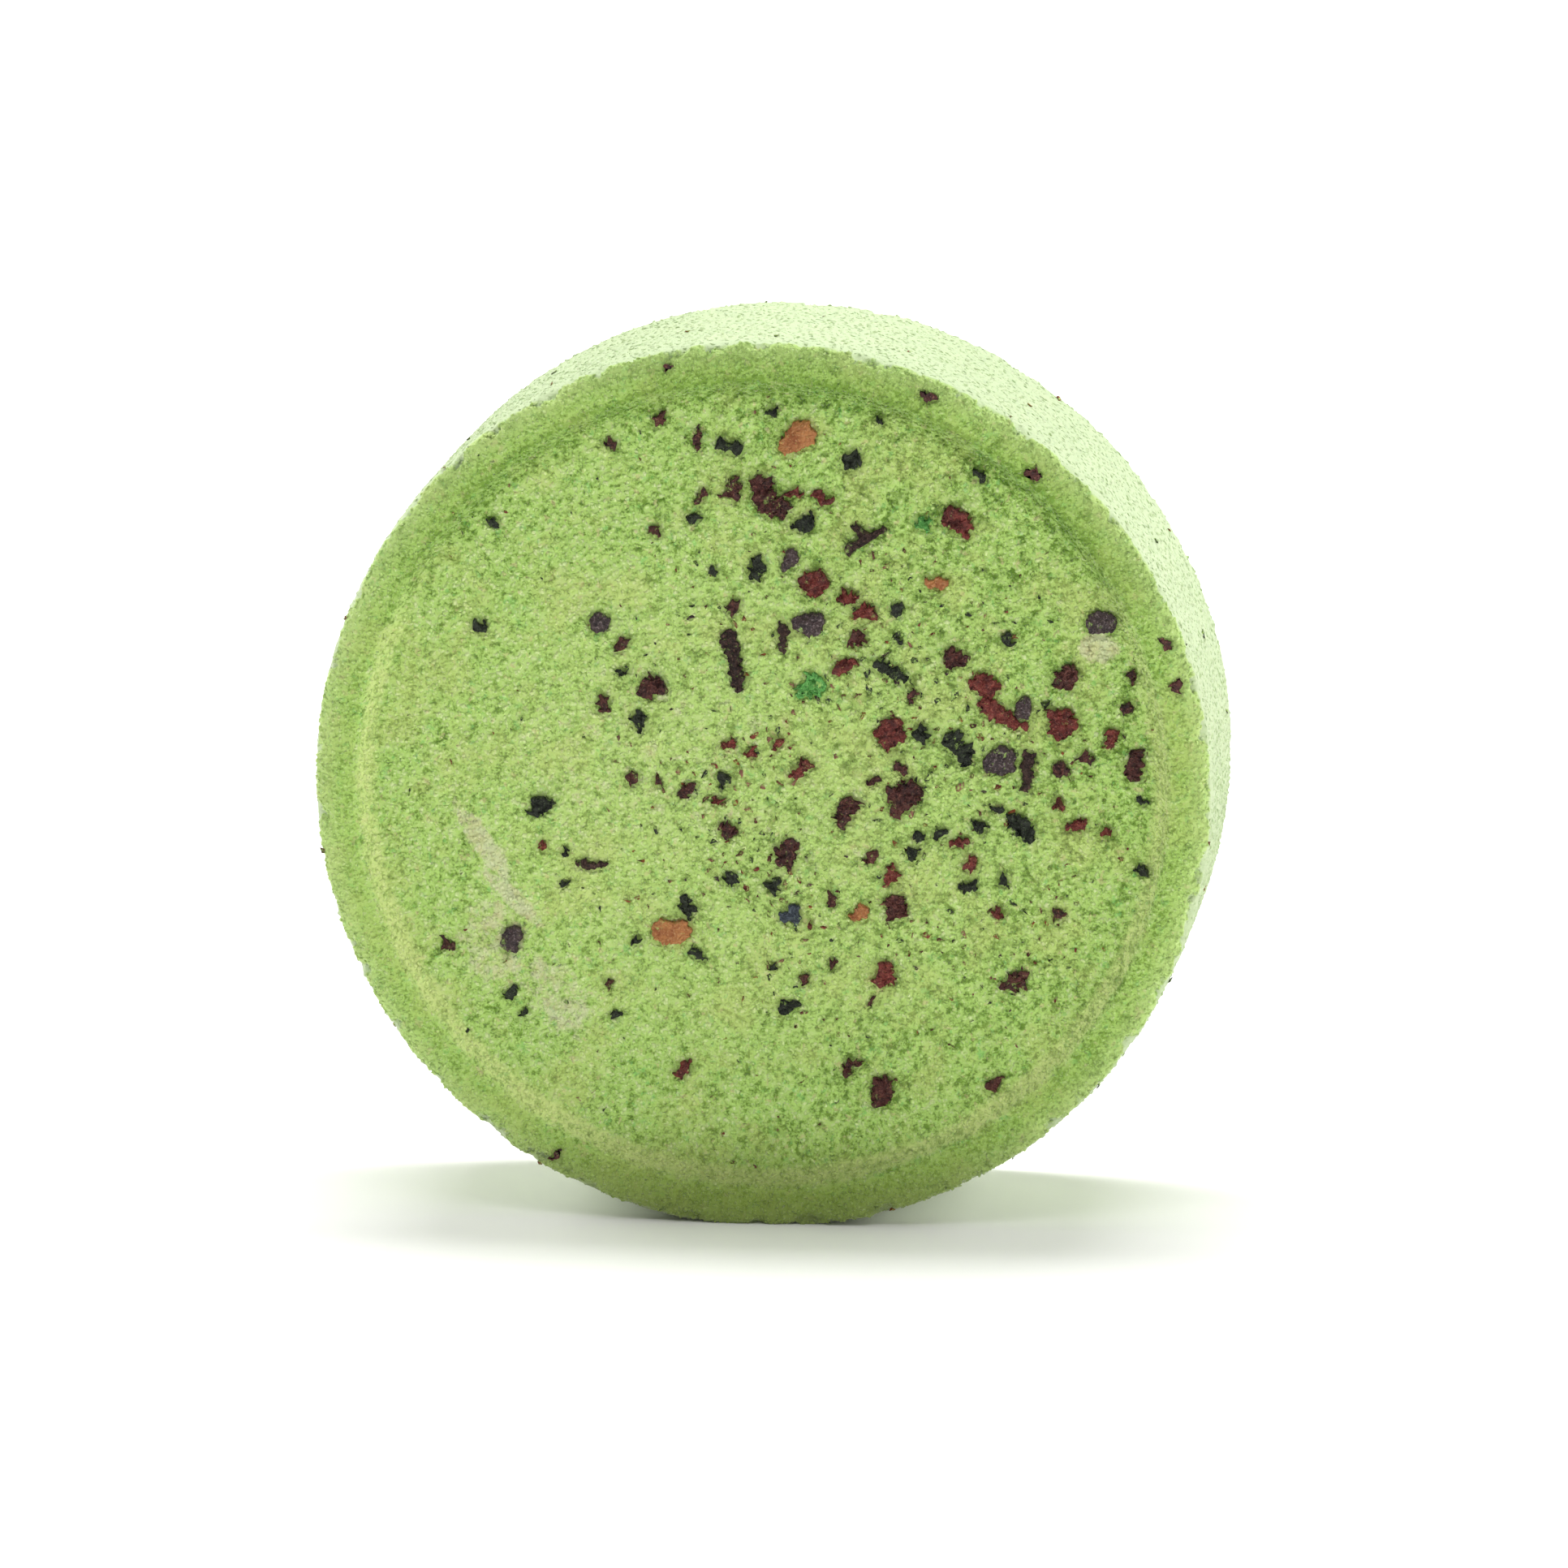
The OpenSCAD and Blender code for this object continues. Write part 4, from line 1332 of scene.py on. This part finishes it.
# Kinds of dried pieces: how their CAD names start, slot, material, the setting of their main colour,
# roughness, specular, width of a mottle (mm), shape (mm: curl, dome, wrinkle, ragged, lift), voxel (mm)
KINDS = {
    "orange peel": (("orange_peel_chip",), "orange_peel", "dried orange peel", "peel", 0.5, 0.3, 0.7,
                    (0.14, 0.12, 0.12, 0.25, 0.08), 0.07),
    "rosehip": (("rosehip_chip",), "rosehip", "dried rosehip", "rosehip", 0.5, 0.3, 0.6,
                (0.2, 0.05, 0.25, 0.5, 0.1), 0.07),
    "hibiscus": (("hibiscus_chip",), "hibiscus", "dried hibiscus", "hibiscus", 0.5, 0.3, 0.5,
                 (0.2, 0.05, 0.3, 0.55, 0.1), 0.07),
    "tea leaf": (("tea_leaf_flake",), "tea_leaf", "dried tea leaf", "leaf", 0.5, 0.3, 0.4,
                 (0.24, 0.04, 0.3, 0.6, 0.1), 0.07),
    "seed husk": (("seed_husk",), "seed_husk", "seed husk", "husk", 0.4, 0.4, 0.5,
                  (0.05, 0.28, 0.12, 0.2, 0.05), 0.07),
    "stalk": (("stalk_sliver", "forked_stalk"), "stalk", "dried stalk", "stalk", 0.5, 0.3, 0.3,
              (0.08, 0.1, 0.2, 0.3, 0.06), 0.06),
    "petal": (("petal_flake",), "petal", "dried blue petal", "petal", 0.5, 0.3, 0.4,
              (0.15, 0.03, 0.2, 0.35, 0.08), 0.07),
    "granule": (("green_granule",), "green_granule", "green granule", "granule", 0.5, 0.3, 0.5,
                (0.0, 0.1, 0.3, 0.6, 0.0), 0.07),
}

# The crumbs: CAD nodes, slot and material; then the shape of each crumb and its voxel (mm)
CRUMBS = (
    (("red_crumbs",), "rosehip", "dried rosehip"),
    (("maroon_crumbs", "rim_crumbs"), "hibiscus", "dried hibiscus"),
    (("black_crumbs",), "tea_leaf", "dried tea leaf"),
)
CRUMB_SHAPE = (0.12, 0.08, 0.25, 0.5, 0.08)
CRUMB_VOXEL_MM = 0.06


def make_kind(kind):
    """All the pieces of one kind, with the kind's own material."""
    starts, slot, finish, main, roughness, specular, mottle_mm, shape, voxel_mm = KINDS[kind]
    colours = bpy.context.scene.plant_colours
    tones = [getattr(colours, main + end) for end in ("", "_dark", "_light")]
    material = plant_material(finish, *tones, roughness, specular, mottle_mm)
    make_chips(plant_nodes(*starts), slot, material, shape, voxel_mm)
    return {"FINISHED"}


# ---------------------------------------------------------------- operators


class SOAP_OT_body(bpy.types.Operator):
    """Builds the pressed body's skin."""

    bl_idname = "soap.body"
    bl_label = "Pressed body"

    def execute(self, context):
        base = link_mesh("pressed_body", skin_mesh())
        values = {"Chips": chip_collection(), "Material": soap_material(gaps=True)}
        mesh = run_tree(base, roughen_tree(), values, "pressed_body")
        base.data = mesh
        keep_in_mould(mesh)
        shade_smooth(mesh)
        finish_piece(base, "pressed_soap", PUCK)
        return {"FINISHED"}


# Grains of each zone: name, layers, spacing's setting and factor, factor on the grain's width, and look
LAYERS = {
    FACE: ("face_grains", 3, "face_gap", 1.0, 1.0, {"Flatness": 0.65, "Lift": -0.01 * MM}),
    RIM: ("rim_grains", 2, "face_gap", 0.8, 0.8, {"Flatness": 0.6, "Raggedness": 0.2 * MM}),
    WALL: ("wall_grains", 2, "wall_gap", 1.0, 1.1,
           {"Flatness": 0.34, "Lift": -0.04 * MM, "Raggedness": 0.12 * MM}),
    BACK: ("back_grains", 2, "wall_gap", 1.0, 1.1, {"Flatness": 0.5}),
}
ZONE_SEED = 10


def grain_layers(zone):
    """Layers of overlapping grains over one zone, each layer a piece."""
    s = sizes()
    name, count, gap, gap_factor, width_factor, look = LAYERS[zone]
    spacing, grain = gap_factor * getattr(s, gap), width_factor * s.grain
    common = {"Zone": float(zone), "Spacing": spacing, "Grain Size": grain}
    for layer in range(count):
        values = {**common, "Seed": s.seed + ZONE_SEED * zone + layer, **look}
        scatter(f"{name}_{layer + 1}", "pressed_soap", soap_material(), **values)
    return {"FINISHED"}


class SOAP_OT_face_grains(bpy.types.Operator):
    """Scatters the grains of the recessed face."""

    bl_idname = "soap.face_grains"
    bl_label = "Face grains"

    def execute(self, context):
        return grain_layers(FACE)


class SOAP_OT_rim_grains(bpy.types.Operator):
    """Scatters the finer, flatter grains of the rim."""

    bl_idname = "soap.rim_grains"
    bl_label = "Rim grains"

    def execute(self, context):
        return grain_layers(RIM)


class SOAP_OT_wall_grains(bpy.types.Operator):
    """Scatters the grains of the side wall."""

    bl_idname = "soap.wall_grains"
    bl_label = "Wall grains"

    def execute(self, context):
        return grain_layers(WALL)


class SOAP_OT_back_grains(bpy.types.Operator):
    """Scatters the grains of the plain back face."""

    bl_idname = "soap.back_grains"
    bl_label = "Back grains"

    def execute(self, context):
        return grain_layers(BACK)


class SOAP_OT_orange_peel(bpy.types.Operator):
    """Makes the orange peel chips."""

    bl_idname = "soap.orange_peel"
    bl_label = "Orange peel chips"

    def execute(self, context):
        return make_kind("orange peel")


class SOAP_OT_rosehip(bpy.types.Operator):
    """Makes the rosehip chips."""

    bl_idname = "soap.rosehip"
    bl_label = "Rosehip chips"

    def execute(self, context):
        return make_kind("rosehip")


class SOAP_OT_hibiscus(bpy.types.Operator):
    """Makes the hibiscus chips."""

    bl_idname = "soap.hibiscus"
    bl_label = "Hibiscus chips"

    def execute(self, context):
        return make_kind("hibiscus")


class SOAP_OT_tea_leaf(bpy.types.Operator):
    """Makes the tea leaf flakes."""

    bl_idname = "soap.tea_leaf"
    bl_label = "Tea leaf flakes"

    def execute(self, context):
        return make_kind("tea leaf")


class SOAP_OT_seed_husk(bpy.types.Operator):
    """Makes the domed seed husks."""

    bl_idname = "soap.seed_husk"
    bl_label = "Seed husks"

    def execute(self, context):
        return make_kind("seed husk")


class SOAP_OT_stalks(bpy.types.Operator):
    """Makes the stalk slivers and the forked stalk."""

    bl_idname = "soap.stalks"
    bl_label = "Stalks"

    def execute(self, context):
        return make_kind("stalk")


class SOAP_OT_petal(bpy.types.Operator):
    """Makes the blue petal flake."""

    bl_idname = "soap.petal"
    bl_label = "Petal flake"

    def execute(self, context):
        return make_kind("petal")


class SOAP_OT_green_granules(bpy.types.Operator):
    """Makes the bright green granules."""

    bl_idname = "soap.green_granules"
    bl_label = "Green granules"

    def execute(self, context):
        return make_kind("granule")


class SOAP_OT_crumbs(bpy.types.Operator):
    """Makes the groups of small plant crumbs, in the materials of the larger pieces."""

    bl_idname = "soap.crumbs"
    bl_label = "Plant crumbs"

    def execute(self, context):
        for nodes, slot, finish in CRUMBS:
            make_chips(nodes, slot, bpy.data.materials[finish], CRUMB_SHAPE, CRUMB_VOXEL_MM)
        return {"FINISHED"}


# The look that all specks share, then each zone's specks: name, spacing, what the seed gains, and more
SPECK_LOOK = {
    "Grain Size": 0.42 * MM,
    "Least Size": 0.3,
    "Stretch": 3.4,
    "Flatness": 0.35,
    "Raggedness": 0.4 * MM,
    "Lift": 0.1 * MM,
}
SPECKS = {
    FACE: ("face_specks", 0.85 * MM, 50, {"Gather": 1.0}),
    RIM: ("rim_specks", 2.4 * MM, 51, {"Gather": 1.0, "Grain Size": 0.3 * MM, "Lift": 0.04 * MM}),
    WALL: ("wall_specks", 8.0 * MM, 52, {}),
    BACK: ("back_specks", 3.2 * MM, 53, {}),
}


class SOAP_OT_specks(bpy.types.Operator):
    """Scatters the finest plant specks over the whole puck."""

    bl_idname = "soap.specks"
    bl_label = "Plant specks"

    def execute(self, context):
        material = speck_material()
        for zone, (name, spacing, seed, more) in SPECKS.items():
            place = {"Zone": float(zone), "Spacing": spacing, "Seed": sizes().seed + seed}
            scatter(name, "hibiscus", material, **{**SPECK_LOOK, **place, **more})
        return {"FINISHED"}


class SOAP_OT_stage(bpy.types.Operator):
    """Sets up the floor, the lights and the camera."""

    bl_idname = "soap.stage"
    bl_label = "Studio"

    def execute(self, context):
        studio = context.scene.soap_studio
        build_floor()
        build_lights(studio)
        build_camera(studio)
        return {"FINISHED"}


# The sweep: its width, front end, where its bend starts, the bend's radius and its top, in metres;
# faces round the bend; and the paper's two whites and the width of their clouds
FLOOR_WIDTH, FLOOR_FRONT, FLOOR_BEND_Y, FLOOR_BEND, FLOOR_TOP = 6.0, -3.0, 0.9, 0.5, 1.6
BEND_STEPS = 12
PAPER = ((0.95, 0.945, 0.935), (0.97, 0.965, 0.955))
PAPER_CLOUD = 0.3


def build_floor():
    """A white sweep: level floor that curves up into a backdrop."""
    ridge = [(FLOOR_FRONT, 0.0)]
    for t in np.linspace(0, math.pi / 2, BEND_STEPS + 1):
        ridge.append((FLOOR_BEND_Y + FLOOR_BEND * math.sin(t), FLOOR_BEND - FLOOR_BEND * math.cos(t)))
    ridge.append((FLOOR_BEND_Y + FLOOR_BEND, FLOOR_TOP))
    points = [(x, y, z) for y, z in ridge for x in (-FLOOR_WIDTH / 2, FLOOR_WIDTH / 2)]
    faces = [(2 * k, 2 * k + 1, 2 * k + 3, 2 * k + 2) for k in range(len(ridge) - 1)]
    mesh = bpy.data.meshes.new("floor")
    mesh.from_pydata(points, [], faces)
    shade_smooth(mesh)
    material, n, shader, place = new_material("white paper", roughness=0.85, specular=0.2)
    cloud = n.noise(place, PAPER_CLOUD)
    n.set(shader.inputs["Base Color"], n.mix(n.fade(cloud, "paper cloud"), *PAPER))
    mesh.materials.append(material)
    floor = link_mesh("floor", mesh)


def area_light(name, place, target, width, height, power):
    """A soft rectangular light that faces its target."""
    data = bpy.data.lights.new(name, "AREA")
    data.shape = "RECTANGLE"
    data.size, data.size_y = width, height
    data.energy = power
    lamp = bpy.data.objects.new(name, data)
    lamp.location = place
    lamp.rotation_euler = (Vector(target) - Vector(place)).to_track_quat("-Z", "Y").to_euler()
    bpy.context.scene.collection.objects.link(lamp)


def direction(azimuth, elevation):
    """The direction at an azimuth from the face's axis and a height above the level, in radians."""
    level = math.cos(elevation)
    return Vector((math.sin(azimuth) * level, -math.cos(azimuth) * level, math.sin(elevation)))


# The studio's lamps: azimuth from the face's axis and height above the level (degrees),
# distance, width, height (metres) and power (watts)
LAMPS = {
    "front above": (0, 58, 0.85, 0.7, 0.3, 1.47),
    "front low": (5, 8, 1.00, 0.9, 0.25, 0.90),
    "right": (75, 15, 0.80, 0.5, 0.3, 1.3),
    "top behind": (180, 76, 0.85, 0.7, 0.25, 6.5),
    "left side": (-104, 31, 0.80, 0.6, 0.4, 3.7),
    "right side": (102, 31, 0.80, 0.6, 0.4, 2.5),
}
# The lamp that lights the sweep behind the puck: its place, its target, width, height and power
SWEEP_LAMP = ((0.0, 0.30, 0.45), (0.0, 1.0, 0.1), 1.6, 0.2, 6.5)


def build_lights(studio):
    """White surroundings and soft lamps, most of them above and behind."""
    world = bpy.data.worlds.new("studio")
    world.use_nodes = True
    back = world.node_tree.nodes["Background"]
    back.inputs["Color"].default_value = (1.0, 1.0, 1.0, 1.0)
    back.inputs["Strength"].default_value = studio.ambient
    bpy.context.scene.world = world
    for name, (azimuth, elevation, distance, width, height, power) in LAMPS.items():
        away = direction(math.radians(azimuth), math.radians(elevation))
        area_light(name, AXIS + away * distance, AXIS, width, height, power * studio.power)
    place, target, width, height, power = SWEEP_LAMP
    area_light("sweep", place, target, width, height, power * studio.power)


# Width of the camera's sensor in millimetres, and its nearest and farthest sight in metres
SENSOR_MM = 36.0
NEAREST, FARTHEST = 0.01, 20.0


def build_camera(studio):
    """The camera, a little right of the face's axis and above it."""
    data = bpy.data.cameras.new("camera")
    data.sensor_width = SENSOR_MM
    data.lens = studio.lens
    data.dof.use_dof = False
    data.clip_start, data.clip_end = NEAREST, FARTHEST
    camera = bpy.data.objects.new("camera", data)
    away = direction(studio.azimuth, studio.elevation)
    turn = away.to_track_quat("Z", "Y")
    centre = Vector((0.0, OUTLINE["front"], OUTLINE["axis_z"]))
    right, up = turn @ Vector((1, 0, 0)), turn @ Vector((0, 1, 0))
    eye = centre + away * studio.distance
    aim = centre + right * studio.aim_right + up * studio.aim_up
    camera.location = eye
    camera.rotation_euler = (eye - aim).to_track_quat("Z", "Y").to_euler()
    bpy.context.scene.collection.objects.link(camera)
    bpy.context.scene.camera = camera


class SOAP_PT_panel(bpy.types.Panel):
    """Lists the puck's settings and the steps that build it."""

    bl_idname = "SOAP_PT_panel"
    bl_label = "Soap Puck"
    bl_space_type = "VIEW_3D"
    bl_region_type = "UI"
    bl_category = "Soap Puck"

    def draw(self, context):
        layout = self.layout
        for title, group in (
            ("Sizes", context.scene.soap_sizes),
            ("Soap colours", context.scene.soap_colours),
            ("Plant colours", context.scene.plant_colours),
            ("Studio", context.scene.soap_studio),
        ):
            box = layout.box()
            box.label(text=title)
            for name in group.__annotations__:
                box.prop(group, name)
        for step in STEPS:
            layout.operator(step.bl_idname)


STEPS = (
    SOAP_OT_stage,
    SOAP_OT_orange_peel,
    SOAP_OT_rosehip,
    SOAP_OT_hibiscus,
    SOAP_OT_tea_leaf,
    SOAP_OT_seed_husk,
    SOAP_OT_stalks,
    SOAP_OT_petal,
    SOAP_OT_green_granules,
    SOAP_OT_crumbs,
    SOAP_OT_body,
    SOAP_OT_face_grains,
    SOAP_OT_rim_grains,
    SOAP_OT_wall_grains,
    SOAP_OT_back_grains,
    SOAP_OT_specks,
)
GROUPS = {
    "soap_sizes": SoapSizes,
    "soap_colours": SoapColours,
    "plant_colours": PlantColours,
    "soap_studio": StudioSettings,
}


def register():
    """Registers the settings, the operators and the panel."""
    for name, group in GROUPS.items():
        bpy.utils.register_class(group)
        setattr(bpy.types.Scene, name, PointerProperty(type=group))
    for cls in (*STEPS, SOAP_PT_panel):
        bpy.utils.register_class(cls)


def unregister():
    """Takes everything that register added away again."""
    for cls in (SOAP_PT_panel, *reversed(STEPS)):
        bpy.utils.unregister_class(cls)
    for name, group in GROUPS.items():
        delattr(bpy.types.Scene, name)
        bpy.utils.unregister_class(group)


def main():
    register()
    scene = bpy.context.scene
    scene.view_settings.view_transform = "Standard"
    for step in STEPS:
        area, name = step.bl_idname.split(".")
        getattr(getattr(bpy.ops, area), name)()
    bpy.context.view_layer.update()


if __name__ == "__main__":
    main()
